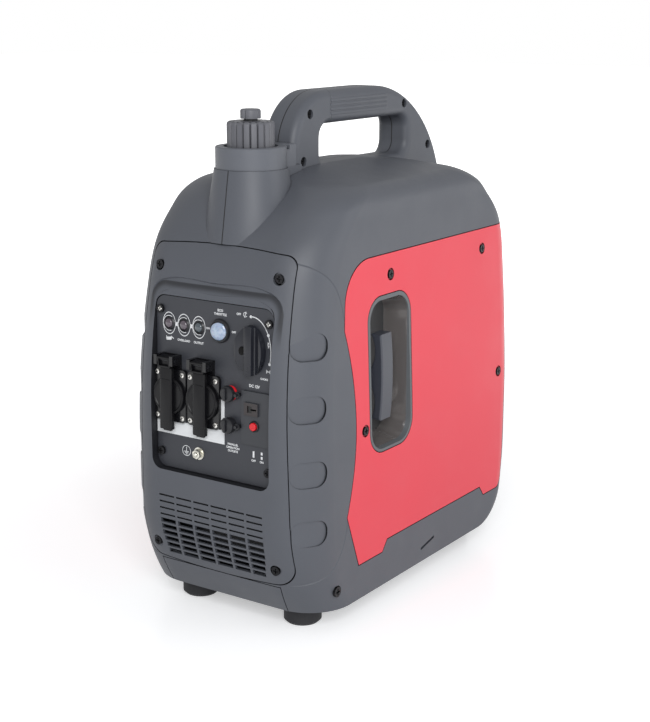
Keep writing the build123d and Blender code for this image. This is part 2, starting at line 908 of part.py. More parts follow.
# ---- Fuel cap: gasket that lifts, shell that turns on it, vent knob on top ------------------
with BuildPart() as cap_gasket:
    with BuildSketch(Plane.XY.offset(neck_top)):
        with Locations((0, filler_y)):
            Circle(neck_radius + 1)
            Circle(neck_bore_radius, mode=Mode.SUBTRACT)
    extrude(amount=gasket_thickness)
finish(cap_gasket.part, "cap_gasket")

with BuildPart() as fuel_cap:
    with BuildSketch(Plane.XY.offset(cap_bottom)):
        with Locations((0, filler_y)):
            Circle(cap_radius - cap_rib_depth)
    extrude(amount=cap_top - cap_bottom)
    fillet(fuel_cap.faces().sort_by(Axis.Z)[-1].edges(), 2 * cap_rib_depth)
    with BuildSketch(Plane.XY.offset(cap_bottom)):
        with Locations((0, filler_y)):
            with PolarLocations(cap_radius - cap_rib_depth, cap_rib_count):
                Rectangle(2 * cap_rib_depth, cap_rib_width)
    extrude(amount=cap_top - cap_bottom - 3 * cap_rib_depth)
    with BuildSketch(Plane.XY.offset(cap_bottom)):
        with Locations((0, filler_y)):
            Circle(cap_radius - cap_rib_depth - cap_wall)
    extrude(amount=neck_top + gasket_thickness - cap_bottom, mode=Mode.SUBTRACT)
    with Locations((0, filler_y, cap_top)):
        Hole(vent_stem_radius + running_clearance, depth=vent_stem_length + 1)
finish(fuel_cap.part, "fuel_cap")

with BuildPart() as vent_knob:
    with BuildSketch(Plane.XY.offset(cap_top)):
        with Locations((0, filler_y)):
            Circle(vent_knob_radius - 1)
    extrude(amount=2)
    with BuildSketch(Plane.XY.offset(cap_top + 2)):
        with Locations((0, filler_y)):
            Circle(vent_knob_radius)
    extrude(amount=vent_knob_height - 2)
    fillet(vent_knob.faces().sort_by(Axis.Z)[-1].edges(), 2)
    with BuildSketch(Plane.XY.offset(cap_top)):
        with Locations((0, filler_y)):
            Circle(vent_stem_radius)
    extrude(amount=-vent_stem_length)
finish(vent_knob.part, "cap_vent_knob")

# ---- Front cover: skin with the panel opening, its rim and the air grille -------------------
panel_turn = radians(panel_tilt)
panel = Plane(
    origin=(0, panel_face_y, panel_middle), x_dir=(1, 0, 0), z_dir=(0, -cos(panel_turn), sin(panel_turn))
)
rim_depth = -front_face(panel_middle) + panel_face_y + panel_thickness + rim_behind


def on_panel(x, z):
    """A place on the panel's face in the panel plane's own coordinates."""
    return (x, z - panel_middle)


indicator_places = [on_panel(x, indicator_z) for x in indicator_xs]
socket_places = [on_panel(x, socket_z) for x in socket_xs]
jack_places = [on_panel(jack_x, z) for z in jack_zs]
eco_place = on_panel(eco_x, indicator_z)
knob_place = on_panel(knob_x, knob_z)
dc_place = on_panel(dc_x, dc_z)
breaker_place = on_panel(breaker_x, breaker_z)
ground_place = on_panel(ground_x, ground_z)
panel_screw_places = [
    on_panel(x, z) for x in (-panel_tab_x, panel_tab_x) for z in (panel_screw_low, panel_screw_high)
]
panel_screw_seats = [
    Plane(panel.from_local_coords((*place, 0)), x_dir=panel.x_dir, z_dir=panel.z_dir)
    for place in panel_screw_places
]


def panel_opening(grow):
    with BuildSketch(Plane.XZ) as opening:
        with Locations((0, panel_middle)):
            width = 2 * (panel_opening_half_width + grow)
            height = panel_opening_top - panel_opening_bottom + 2 * grow
            RectangleRounded(width, height, panel_opening_radius + grow)
    return opening.sketch


with BuildPart() as panel_rim:
    add(outer_form)
    extrude(panel_opening(rim_thickness), amount=reach, mode=Mode.INTERSECT)
    with Locations((0, 0, panel_middle)):
        Box(2 * half_width, 2 * (-front_face(panel_middle) - rim_depth), half_length * 2, mode=Mode.SUBTRACT)
    extrude(panel_opening(0), amount=reach, mode=Mode.SUBTRACT)
    tab_width = 2 * (panel_opening_half_width + rim_thickness / 2 - panel_tab_x)
    tab_y = panel_face_y + panel_thickness + rim_behind / 2 + 1.5
    for x in (-panel_tab_x, panel_tab_x):
        for z in (panel_screw_low, panel_screw_high):
            with Locations((x, tab_y + (z - panel_middle) * sin(panel_turn), z)):
                Box(tab_width, rim_behind - 3, panel_tab)
cove_points = []
for x, z, proud in cove_places:
    corner_start = side_face(z) - front_corner_radius
    curve = front_corner_radius - sqrt(front_corner_radius**2 - max(0, x - corner_start) ** 2)
    cove_points.append((x, front_face(z) + curve - proud, z))
with BuildPart() as cove:
    with BuildLine() as cove_path:
        Spline([(-x, y, z) for x, y, z in cove_points] + cove_points[-2::-1])
    with BuildSketch(Plane(origin=cove_path.line @ 0, x_dir=(0, -1, 0), z_dir=cove_path.line % 0)):
        with BuildLine():
            Polyline(
                (0, -cove_reach),
                (-cove_depth, cove_step - cove_reach),
                (0, cove_reach - cove_step),
                (wall, cove_reach),
                (wall, -cove_reach),
                close=True,
            )
        make_face()
    sweep(path=cove_path.wires()[0])
with BuildPart() as front_cover:
    add(outer_form)
    add(inner_form, mode=Mode.SUBTRACT)
    extrude(end_cover_outline(0, Plane.XZ), amount=reach, mode=Mode.INTERSECT)
    extrude(panel_opening(0), amount=reach, mode=Mode.SUBTRACT)
    add(panel_rim.part)
    column_pitch = 2 * grille_half_width / grille_columns
    for row in range(grille_blind_rows, grille_rows):
        row_width = 2 * grille_half_width - 2 * grille_trim * max(0, row - grille_blind_rows - 1)
        with BuildSketch(Plane.XZ):
            with Locations((0, grille_top - grille_pitch * (row + 0.5))):
                with GridLocations(column_pitch, 1, grille_columns, 1):
                    Rectangle(column_pitch - grille_rib, slot_height)
                Rectangle(row_width, slot_height, mode=Mode.INTERSECT)
        extrude(amount=reach, mode=Mode.SUBTRACT)
    for row in range(grille_blind_rows):
        height = grille_top - grille_pitch * (row + 0.5)
        with BuildSketch(Plane.XZ.offset(-front_face(height) - blind_depth)):
            with Locations((0, height)):
                with GridLocations(column_pitch, 1, grille_columns, 1):
                    Rectangle(column_pitch - grille_rib, blind_height)
        extrude(amount=2 * wall, mode=Mode.SUBTRACT)
    add(cove.part, mode=Mode.SUBTRACT)
    add(screw_holes(front_cover_seats, screw_recess_radius), mode=Mode.SUBTRACT)
    add(screw_holes(panel_screw_seats, screw_radius + screw_gap), mode=Mode.SUBTRACT)
finish(front_cover.part, "front_cover")

# ---- Rear cover: louvres and the exhaust hole ----------------------------------------------
with BuildPart() as rear_cover:
    add(outer_form)
    add(inner_form, mode=Mode.SUBTRACT)
    extrude(end_cover_outline(0, Plane.XZ), amount=-reach, mode=Mode.INTERSECT)
    with BuildSketch(Plane.XZ):
        for row in range(louvre_rows):
            with Locations((0, louvre_top - louvre_pitch * row)):
                with GridLocations(louvre_length + 8, 1, 2, 1):
                    SlotOverall(louvre_length, louvre_height)
        with Locations((outlet_x, outlet_z)):
            Circle(outlet_radius + outlet_gap)
    extrude(amount=-reach, mode=Mode.SUBTRACT)
    add(screw_holes(rear_cover_seats, screw_recess_radius), mode=Mode.SUBTRACT)
finish(rear_cover.part, "rear_cover")

# ---- Side covers: the right one has the starter window --------------------------------------
with BuildPart() as right_cover:
    add(outer_form)
    add(inner_form, mode=Mode.SUBTRACT)
    extrude(side_cover_outline(0), amount=reach, mode=Mode.INTERSECT)
    extrude(window_sketch(bezel_width + cover_gap, Plane.YZ), amount=reach, mode=Mode.SUBTRACT)
    add(screw_holes(right_cover_seats, screw_recess_radius), mode=Mode.SUBTRACT)
finish(right_cover.part, "right_side_cover")
with BuildPart() as left_cover:
    add(outer_form)
    add(inner_form, mode=Mode.SUBTRACT)
    extrude(side_cover_outline(0), amount=-reach, mode=Mode.INTERSECT)
    add(screw_holes(left_cover_seats, screw_recess_radius), mode=Mode.SUBTRACT)
finish(left_cover.part, "left_side_cover")

cover_seats = front_cover_seats + rear_cover_seats + right_cover_seats + left_cover_seats
finish(screw_group(cover_seats + panel_screw_seats), "cover_screws")
with BuildPart() as housing_screws:
    add(screw_group(right_handle_seats, handle_recess_radius - 1, handle_half_width))
    add(screw_group(base_seats, screw_recess_radius - 1))
finish(housing_screws.part, "housing_screws")

# ---- Starter pocket and its window bezel ----------------------------------------------------
pocket_mouth = Plane.YZ.offset(half_width)
with BuildPart() as starter_pocket:
    extrude(window_sketch(pocket_wall, pocket_mouth), amount=-pocket_depth - pocket_wall, taper=pocket_taper)
    extrude(window_sketch(bezel_width, pocket_mouth), amount=-wall - bezel_back)
    extrude(window_sketch(0, pocket_mouth), amount=-pocket_depth, taper=pocket_taper, mode=Mode.SUBTRACT)
    add(outer_form, mode=Mode.INTERSECT)
    with BuildSketch(pocket_mouth):
        with Locations((window_y, rope_height)):
            Circle(guide_radius)
    extrude(amount=-reach, mode=Mode.SUBTRACT)
finish(starter_pocket.part, "starter_pocket")

pocket_floor_x = half_width - pocket_depth
guide_plane = Plane.YZ.offset(pocket_floor_x - pocket_wall)
with BuildPart() as rope_guide:
    with BuildSketch(guide_plane):
        with Locations((window_y, rope_height)):
            Circle(guide_radius)
    extrude(amount=pocket_wall)
    with BuildSketch(guide_plane.offset(pocket_wall)):
        with Locations((window_y, rope_height)):
            Circle(guide_radius + 3)
    extrude(amount=guide_lip)
    with BuildSketch(guide_plane):
        with Locations((window_y, rope_height)):
            Circle(rope_radius + soft_gap + 0.2)
    extrude(amount=pocket_wall + guide_lip, mode=Mode.SUBTRACT)
finish(rope_guide.part, "rope_guide")

# ---- Starter grip and rope ------------------------------------------------------------------
grip_inner_x = pocket_floor_x + grip_clear
with BuildPart() as starter_grip:
    half = grip_height / 2
    with BuildSketch(Plane.XZ.offset(-window_y - grip_width / 2)):
        with BuildLine():
            ThreePointArc(
                (grip_inner_x + grip_thickness, rope_height - half),
                (grip_inner_x + grip_thickness + grip_bow, rope_height),
                (grip_inner_x + grip_thickness, rope_height + half),
            )
            Line((grip_inner_x + grip_thickness, rope_height + half), (grip_inner_x, rope_height + half))
            ThreePointArc(
                (grip_inner_x, rope_height + half),
                (grip_inner_x + grip_notch, rope_height + half / 2),
                (grip_inner_x, rope_height + grip_stem_half),
            )
            Line((grip_inner_x, rope_height + grip_stem_half), (grip_inner_x, rope_height - grip_stem_half))
            ThreePointArc(
                (grip_inner_x, rope_height - grip_stem_half),
                (grip_inner_x + grip_notch, rope_height - half / 2),
                (grip_inner_x, rope_height - half),
            )
            Line((grip_inner_x, rope_height - half), (grip_inner_x + grip_thickness, rope_height - half))
        make_face()
    extrude(amount=grip_width)
    fillet(starter_grip.edges().group_by(Axis.Y)[0] + starter_grip.edges().group_by(Axis.Y)[-1], grip_fillet)
    with BuildSketch(Plane.YZ.offset(pocket_floor_x + guide_lip + soft_gap)):
        with Locations((window_y, rope_height)):
            Circle(grip_stem_radius)
    extrude(amount=grip_clear - guide_lip - soft_gap + 2)
    with BuildSketch(Plane.YZ.offset(pocket_floor_x)):
        with Locations((window_y, rope_height)):
            Circle(rope_radius)
    extrude(amount=grip_clear + 4, mode=Mode.SUBTRACT)
finish(starter_grip.part, "starter_grip")

with BuildPart() as starter_rope:
    with BuildSketch(Plane.YZ.offset(rope_start_x)):
        with Locations((window_y, rope_height)):
            Circle(rope_radius)
    extrude(amount=grip_inner_x + 4 - rope_start_x)
finish(starter_rope.part, "starter_rope")

# ---- Control panel plate --------------------------------------------------------------------
with BuildPart() as control_panel:
    with BuildSketch(panel):
        width = 2 * (panel_opening_half_width - cover_gap)
        height = (panel_opening_top - panel_opening_bottom) / cos(panel_turn) - 2 * cover_gap
        RectangleRounded(width, height, panel_opening_radius - cover_gap)
        with Locations(*indicator_places):
            Circle(lens_radius + 0.1, mode=Mode.SUBTRACT)
        with Locations(*socket_places):
            Circle(socket_body_radius + 0.1, mode=Mode.SUBTRACT)
        with Locations(*jack_places):
            Circle(jack_body_radius + 0.1, mode=Mode.SUBTRACT)
        with Locations(eco_place):
            Circle(eco_bore_radius, mode=Mode.SUBTRACT)
        with Locations(knob_place):
            Circle(spindle_radius + 1, mode=Mode.SUBTRACT)
        with Locations(dc_place):
            Rectangle(dc_width - 8, dc_height - 8, mode=Mode.SUBTRACT)
        with Locations(ground_place):
            Circle(ground_stud_radius + screw_gap, mode=Mode.SUBTRACT)
        with Locations(*panel_screw_places):
            Circle(screw_radius + screw_gap, mode=Mode.SUBTRACT)
    extrude(amount=-panel_thickness)
finish(control_panel.part, "control_panel")


# ---- Indicators: three bezel rings, each round a lens ---------------------------------------
with BuildPart() as indicator_bezels:
    with BuildSketch(panel):
        with Locations(*indicator_places):
            Circle(ring_radius)
            Circle(lens_radius + 0.1, mode=Mode.SUBTRACT)
    extrude(amount=ring_height)
finish(indicator_bezels.part, "indicator_bezels")
for name, places in (("warning_lenses", indicator_places[:2]), ("output_lens", indicator_places[2:])):
    with BuildPart() as lens:
        with BuildSketch(panel.offset(-panel_thickness)):
            with Locations(*places):
                Circle(lens_radius)
        extrude(amount=panel_thickness + ring_height - 0.5)
    finish(lens.part, name)

# ---- Throttle switch: round bezel and a rocker that tips about an upright pin ---------------
with BuildPart() as eco_bezel:
    with BuildSketch(panel):
        with Locations(eco_place):
            Circle(eco_bezel_radius)
            Circle(eco_bore_radius - eco_wall, mode=Mode.SUBTRACT)
    extrude(amount=eco_bezel_height)
    with BuildSketch(panel):
        with Locations(eco_place):
            Circle(eco_bore_radius)
            Circle(eco_bore_radius - eco_wall, mode=Mode.SUBTRACT)
    extrude(amount=-eco_body_depth)
    with BuildSketch(panel.offset(-eco_body_depth)):
        with Locations(eco_place):
            Circle(eco_bore_radius)
    extrude(amount=-2)
    with BuildSketch(panel.offset(-eco_body_depth)):
        with Locations(eco_place):
            Rectangle(1, 4)
    extrude(amount=eco_body_depth - eco_rocker_drop - eco_pivot_gap)
finish(eco_bezel.part, "eco_switch_body")
eco_turn = radians(eco_tilt)
eco_pivot = Plane(
    panel.from_local_coords((*eco_place, eco_bezel_height / 2)),
    x_dir=(cos(eco_turn), sin(eco_turn) * cos(panel_turn), -sin(eco_turn) * sin(panel_turn)),
    z_dir=panel.z_dir * cos(eco_turn) + panel.x_dir * sin(eco_turn),
)
with BuildPart() as eco_rocker:
    with BuildSketch(eco_pivot):
        Circle(eco_rocker_radius)
    extrude(amount=eco_rocker_drop + eco_bezel_height / 2, both=True)
    fillet(eco_rocker.faces().sort_by(Axis.Y)[0].edges(), 1)
finish(eco_rocker.part, "eco_switch_rocker")

# ---- Engine switch: body behind the panel, spindle and ridge knob in front ------------------
with BuildPart() as engine_switch_body:
    with BuildSketch(panel.offset(-panel_thickness)):
        with Locations(knob_place):
            Rectangle(switch_body_width, switch_body_width)
            Circle(spindle_radius + running_clearance, mode=Mode.SUBTRACT)
    extrude(amount=-switch_body_depth)
finish(engine_switch_body.part, "engine_switch_body")
with BuildPart() as engine_knob:
    with BuildSketch(panel.offset(knob_gap)):
        with Locations(knob_place):
            Circle(knob_radius)
    extrude(amount=knob_base_height)
    with BuildSketch(panel.offset(knob_gap + knob_base_height)):
        with Locations(knob_place):
            SlotOverall(2 * knob_radius - 3, knob_ridge_width, rotation=90)
    extrude(amount=knob_ridge_height, taper=4)
    with BuildSketch(panel.offset(knob_gap)):
        with Locations(knob_place):
            Circle(spindle_radius)
    extrude(amount=-switch_body_depth)
finish(engine_knob.part, "engine_switch_knob")

# ---- Mains sockets with sprung lids ---------------------------------------------------------
with BuildPart() as socket_label:
    with BuildSketch(panel):
        with Locations(on_panel((label_left + label_right) / 2, (label_low + label_high) / 2)):
            Rectangle(label_right - label_left, label_high - label_low)
        with Locations(*socket_places):
            Rectangle(socket_width + 0.4, socket_height + 0.4, mode=Mode.SUBTRACT)
        with Locations(ground_place):
            Circle(ground_washer_radius + 1, mode=Mode.SUBTRACT)
    extrude(amount=label_thickness)
finish(socket_label.part, "socket_backing_plate")

sockets = []
lid_pins = []
for side, place in zip(("left", "right"), socket_places):
    hinge_height = lid_hinge_rise + place[1]
    with BuildPart() as socket:
        with BuildSketch(panel):
            with Locations(place):
                RectangleRounded(socket_width, socket_height, 4)
        extrude(amount=socket_flange)
        with BuildSketch(panel):
            with Locations((place[0], (place[1] + hinge_height + barrel_radius) / 2)):
                Rectangle(lid_band + 2 * (ear_width + soft_gap), hinge_height + barrel_radius - place[1])
        extrude(amount=socket_flange / 2)
        with BuildSketch(panel):
            with Locations(place):
                Circle(socket_body_radius)
        extrude(amount=-socket_body_depth)
        with BuildSketch(panel.offset(socket_flange)):
            with Locations(place):
                Circle(socket_recess_radius)
        extrude(amount=-socket_recess_depth, mode=Mode.SUBTRACT)
        with BuildSketch(panel.offset(socket_flange - socket_recess_depth)):
            with Locations(place):
                with GridLocations(pin_spacing, 1, 2, 1):
                    Circle(pin_hole_radius)
        extrude(amount=-pin_hole_depth, mode=Mode.SUBTRACT)
        with BuildSketch(panel):
            with Locations((place[0], hinge_height)):
                with GridLocations(lid_band + ear_width + 2 * soft_gap, 1, 2, 1):
                    Rectangle(ear_width, 2 * barrel_radius)
        extrude(amount=lid_hinge_out + barrel_radius - 1)
        pin_plane = Plane(panel.from_local_coords((place[0], hinge_height, lid_hinge_out)),
                          x_dir=(0, 1, 0), z_dir=(1, 0, 0))
        with BuildSketch(pin_plane):
            Circle(lid_pin_radius)
        extrude(amount=lid_band, both=True, mode=Mode.SUBTRACT)
    sockets.append(socket.part)
    with BuildPart() as lid_pin:
        with BuildSketch(pin_plane):
            Circle(lid_pin_radius)
        extrude(amount=lid_band / 2 + ear_width + soft_gap, both=True)
    lid_pins.append(lid_pin.part)
    with BuildPart() as lid:
        with BuildSketch(panel.offset(socket_flange + lid_gap)):
            with Locations(place):
                Circle(lid_radius)
        extrude(amount=lid_thickness)
        band_low = place[1] - lid_tab_reach
        with BuildSketch(panel.offset(socket_flange + lid_gap)):
            with Locations((place[0], (hinge_height + band_low) / 2)):
                Rectangle(lid_band, hinge_height - band_low)
        extrude(amount=lid_thickness + lid_band_rise)
        with BuildSketch(pin_plane):
            Circle(barrel_radius)
        extrude(amount=lid_band / 2, both=True)
        with BuildSketch(pin_plane):
            Circle(lid_pin_radius + running_clearance)
        extrude(amount=lid_band, both=True, mode=Mode.SUBTRACT)
    finish(lid.part, f"socket_lid_{side}")
finish(Part() + sockets, "mains_sockets")
finish(Part() + lid_pins, "socket_lid_pins")

# ---- Parallel jacks with rubber caps on tether posts ----------------------------------------
jacks = []
for colour, place in zip(("red", "black"), jack_places):
    with BuildPart() as jack:
        with BuildSketch(panel):
            with Locations(place):
                Circle(jack_collar_radius)
        extrude(amount=jack_collar_height)
        with BuildSketch(panel):
            with Locations(place):
                Circle(jack_body_radius)
        extrude(amount=-jack_body_depth)
        with BuildSketch(panel):
            with Locations((place[0] + tether_reach, place[1])):
                Circle(tether_post_radius)
        extrude(amount=jack_collar_height + soft_gap + jack_cap_thickness)
        with BuildSketch(panel):
            with Locations((place[0] + (tether_reach + tether_post_radius) / 2, place[1])):
                Rectangle(tether_reach + tether_post_radius, 2 * tether_post_radius)
        extrude(amount=jack_collar_height / 2)
        with BuildSketch(panel.offset(jack_collar_height)):
            with Locations(place):
                Circle(jack_bore_radius)
        extrude(amount=-jack_bore_depth, mode=Mode.SUBTRACT)
    jacks.append(jack.part)
    with BuildPart() as cap:
        with BuildSketch(panel.offset(jack_collar_height + soft_gap)):
            with Locations(place):
                Circle(jack_cap_radius)
            with Locations((place[0] + tether_reach / 2, place[1])):
                Rectangle(tether_reach, tether_width)
            with Locations((place[0] + tether_reach, place[1])):
                Circle(tether_eye_radius)
                Circle(tether_post_radius + running_clearance, mode=Mode.SUBTRACT)
        extrude(amount=jack_cap_thickness)
    finish(cap.part, f"jack_cap_{colour}")
finish(Part() + jacks, "parallel_jacks")

# ---- 12 V outlet plate with its T-slot socket and the breaker button ------------------------
with BuildPart() as dc_outlet:
    with BuildSketch(panel):
        with Locations(dc_place):
            RectangleRounded(dc_width, dc_height, 1.5)
    extrude(amount=dc_thickness)
    with BuildSketch(panel):
        with Locations(dc_place):
            Rectangle(dc_width - 9, dc_height - 9)
    extrude(amount=-dc_body_depth)
    with BuildSketch(panel.offset(dc_thickness)):
        with Locations(on_panel(dc_socket_x, dc_socket_z)):
            Rectangle(dc_socket_width, dc_socket_height)
    extrude(amount=dc_socket_rise)
    with BuildSketch(panel.offset(dc_thickness + dc_socket_rise)):
        with Locations(on_panel(dc_socket_x - 3.5, dc_socket_z)):
            Rectangle(1.6, 7)
        with Locations(on_panel(dc_socket_x + 3.5, dc_socket_z)):
            Rectangle(7, 1.6)
    extrude(amount=-dc_slot_depth, mode=Mode.SUBTRACT)
    with BuildSketch(panel.offset(dc_thickness)):
        with Locations(breaker_place):
            Circle(breaker_radius + running_clearance)
    extrude(amount=-breaker_length - breaker_travel, mode=Mode.SUBTRACT)
finish(dc_outlet.part, "dc_outlet")
with BuildPart() as breaker:
    with BuildSketch(panel.offset(dc_thickness + breaker_rise)):
        with Locations(breaker_place):
            Circle(breaker_radius)
    extrude(amount=-breaker_length)
    fillet(breaker.faces().sort_by(Axis.Y)[0].edges(), 0.8)
finish(breaker.part, "dc_breaker_button")

# ---- Ground terminal ------------------------------------------------------------------------
with BuildPart() as ground_washer:
    with BuildSketch(panel):
        with Locations(ground_place):
            Circle(ground_washer_radius)
            Circle(ground_stud_radius + screw_gap, mode=Mode.SUBTRACT)
    extrude(amount=ground_washer_height)
with BuildPart() as ground_bolt:
    with BuildSketch(panel.offset(ground_washer_height)):
        with Locations(ground_place):
            RegularPolygon(ground_hex_radius, 6)
    extrude(amount=ground_hex_height)
    with BuildSketch(panel.offset(ground_washer_height + ground_hex_height)):
        with Locations(ground_place):
            Circle(ground_stud_radius)
    extrude(amount=ground_stud_out)
    with BuildSketch(panel.offset(ground_washer_height)):
        with Locations(ground_place):
            Circle(ground_stud_radius)
    extrude(amount=-ground_stud_in)
finish(ground_bolt.part + ground_washer.part, "ground_terminal")

# ---- Recoil starter: reel on a post inside its cup, rope wound on the drum ------------------
reel_front = window_y - reel_width / 2
reel_rear = window_y + reel_width / 2
cup_front = reel_front - spring_width - 2 * soft_gap - cup_wall
shroud_front = reel_rear + soft_gap + 4


def crank_circle(y, *radii):
    """Concentric circles about the crankshaft's axis, facing the rear: outer, then bore."""
    with BuildSketch(Plane(origin=(0, y, crank_height), x_dir=(-1, 0, 0), z_dir=(0, 1, 0))) as ring:
        Circle(radii[0])
        for radius in radii[1:]:
            Circle(radius, mode=Mode.SUBTRACT)
    return ring.sketch


with BuildPart() as recoil_housing:
    extrude(crank_circle(cup_front, cup_radius), amount=cup_wall)
    extrude(crank_circle(cup_front, cup_radius, cup_radius - cup_wall), amount=shroud_front - cup_front)
    extrude(crank_circle(cup_front, post_radius), amount=reel_rear - cup_front)
    with BuildSketch(Plane.YZ):
        with Locations((window_y, rope_height)):
            Circle(rope_radius + 2.5)
    extrude(amount=cup_radius + 5, mode=Mode.SUBTRACT)
finish(recoil_housing.part, "recoil_housing")

with BuildPart() as recoil_reel:
    extrude(crank_circle(reel_front, drum_radius, post_radius + running_clearance), amount=reel_width)
    extrude(crank_circle(reel_front, reel_radius, drum_radius - 1), amount=reel_flange)
    extrude(crank_circle(reel_rear - reel_flange, reel_radius, drum_radius - 1), amount=reel_flange)
finish(recoil_reel.part, "recoil_reel")
with BuildPart() as rope_coil:
    extrude(
        crank_circle(reel_front + reel_flange, drum_radius + 2 * rope_radius, drum_radius),
        amount=reel_width - 2 * reel_flange,
    )
finish(rope_coil.part, "rope_coil")

# ---- Fan shroud round the rotor, standing on the crankcase ----------------------------------
with BuildPart() as fan_shroud:
    extrude(
        crank_circle(shroud_front, shroud_radius, shroud_radius - cup_wall),
        amount=crankcase_front - shroud_front,
    )
    extrude(crank_circle(shroud_front, shroud_radius, fan_eye_radius), amount=cup_wall)
finish(fan_shroud.part, "fan_shroud")

# ---- Rotor: crankshaft, magnet rotor, cooling fan and starter cup ---------------------------
fan_front = shroud_front + cup_wall + 3
rotor_front = fan_front + fan_width
with BuildPart() as crankshaft:
    extrude(crank_circle(fan_front - 2, crank_radius), amount=web_front - fan_front + 2)
    extrude(crank_circle(web_front, web_radius), amount=web_thickness)
    extrude(crank_circle(web_rear - web_thickness, web_radius), amount=web_thickness)
    extrude(crank_circle(web_rear, crank_radius), amount=crankcase_rear - web_rear)
    with BuildSketch(facing_rear(0, web_front, crank_height - crank_throw)):
        Circle(crank_pin_radius)
    extrude(amount=web_rear - web_front)
finish(crankshaft.part, "crankshaft")
with BuildPart() as cooling_fan:
    extrude(crank_circle(rotor_front - fan_plate, fan_radius, crank_radius), amount=fan_plate)
    for blade in range(fan_blades):
        angle = 2 * pi * blade / fan_blades
        middle = (fan_radius + fan_hub_radius) / 2
        with BuildSketch(Plane.XZ.offset(-fan_front)):
            with Locations((middle * cos(angle), crank_height + middle * sin(angle))):
                Rectangle(fan_radius - fan_hub_radius - 2, fan_blade, rotation=degrees(angle) + 18)
        extrude(amount=-fan_width + fan_plate / 2)
finish(cooling_fan.part, "cooling_fan")
with BuildPart() as rotor:
    extrude(crank_circle(rotor_front, rotor_radius, crank_radius), amount=rotor_plate)
    rotor_wall = rotor_radius - rotor_rim
    extrude(crank_circle(rotor_front, rotor_radius, rotor_wall), amount=crankcase_front - rotor_front - 3)
finish(rotor.part, "magnet_rotor")
with BuildPart() as stator:
    extrude(
        crank_circle(rotor_front + rotor_plate + 2, rotor_radius - rotor_rim - 2, stator_bore_radius),
        amount=crankcase_front - rotor_front - rotor_plate - 2,
    )
    with BuildSketch(Plane.XZ.offset(-rotor_front - rotor_plate - 2)):
        with Locations((0, crank_height)):
            with PolarLocations(rotor_radius - rotor_rim - 6, stator_slots):
                Rectangle(10, 2.5)
    extrude(amount=-(crankcase_front - rotor_front - rotor_plate - 8), mode=Mode.SUBTRACT)
finish(stator.part, "stator")

# ---- Crankcase, bearings, cylinder, head and cover ------------------------------------------
crankcase_length = crankcase_rear - crankcase_front
crankcase_mid_y = (crankcase_front + crankcase_rear) / 2
cylinder_top = crankcase_top + cylinder_height
head_top = cylinder_top + head_height
rocker_top = tank_bottom - rocker_clearance
with BuildPart() as crankcase:
    with BuildSketch(Plane.XY.offset(crankcase_bottom)):
        with Locations((0, crankcase_mid_y)):
            RectangleRounded(2 * crankcase_half_width, crankcase_length, 14)
    extrude(amount=crankcase_top - crankcase_bottom)
    with BuildSketch(Plane.XY.offset(crankcase_bottom + crankcase_wall)):
        with Locations((0, crankcase_mid_y)):
            RectangleRounded(
                2 * (crankcase_half_width - crankcase_wall), crankcase_length - 2 * crankcase_wall, 7
            )
    extrude(amount=crankcase_top - crankcase_bottom - 2 * crankcase_wall, mode=Mode.SUBTRACT)
    extrude(crank_circle(crankcase_front, bearing_radius), amount=crankcase_length, mode=Mode.SUBTRACT)
    with Locations((0, crankcase_mid_y, crankcase_top)):
        Hole(bore_radius, depth=2 * crankcase_wall)
finish(crankcase.part, "crankcase")
with BuildPart() as bearings:
    ring_width = crankcase_wall
    for y in (crankcase_front, crankcase_rear - ring_width):
        extrude(crank_circle(y, bearing_radius, crank_radius + running_clearance), amount=ring_width)
finish(bearings.part, "crankshaft_bearings")
with BuildPart() as cylinder:
    with BuildSketch(Plane.XY.offset(crankcase_top)):
        with Locations((0, crankcase_mid_y)):
            Circle(cylinder_radius)
    extrude(amount=cylinder_height)
    for fin in range(fin_count):
        with BuildSketch(Plane.XY.offset(crankcase_top + 2 + fin * cylinder_height / fin_count)):
            with Locations((0, crankcase_mid_y)):
                RectangleRounded(2 * (cylinder_radius + fin_reach), 2 * (cylinder_radius + 4), fin_corner)
        extrude(amount=fin_thickness)
    with Locations((0, crankcase_mid_y, cylinder_top)):
        Hole(bore_radius, depth=cylinder_height)
finish(cylinder.part, "cylinder")
plug_y = crankcase_mid_y - cylinder_radius - head_flange
plug_seat = facing_front(plug_x, plug_y, cylinder_top + head_height / 2)
with BuildPart() as head:
    with BuildSketch(Plane.XY.offset(cylinder_top)):
        with Locations((0, crankcase_mid_y)):
            RectangleRounded(2 * (cylinder_radius + head_flange), 2 * cylinder_radius, fin_corner)
    extrude(amount=head_height)
    for fin in range(3):
        with BuildSketch(Plane.XY.offset(cylinder_top + 3 + 5 * fin)):
            with Locations((0, crankcase_mid_y)):
                RectangleRounded(2 * (cylinder_radius + fin_reach), 2 * cylinder_radius, fin_corner)
        extrude(amount=fin_thickness)
    with BuildSketch(plug_seat):
        Circle(plug_radius + plug_boss)
    extrude(amount=-plug_reach - 2)
    with BuildSketch(plug_seat):
        Circle(plug_radius)
    extrude(amount=-plug_reach, mode=Mode.SUBTRACT)
    with BuildSketch(Plane.XY.offset(head_top)):
        with Locations((0, crankcase_mid_y)):
            RectangleRounded(2 * cylinder_radius, 2 * cylinder_radius - fin_corner, fin_corner)
    extrude(amount=rocker_top - head_top)
    fillet(head.faces().sort_by(Axis.Z)[-1].edges(), 4)
finish(head.part, "cylinder_head")
with BuildPart() as spark_plug:
    with BuildSketch(plug_seat.offset(-plug_reach)):
        Circle(plug_radius)
    extrude(amount=plug_reach)
    with BuildSketch(plug_seat):
        RegularPolygon(plug_radius + 3, 6)
    extrude(amount=6)
    with BuildSketch(plug_seat.offset(6)):
        Circle(plug_radius - 1.5)
    extrude(amount=16)
finish(spark_plug.part, "spark_plug")

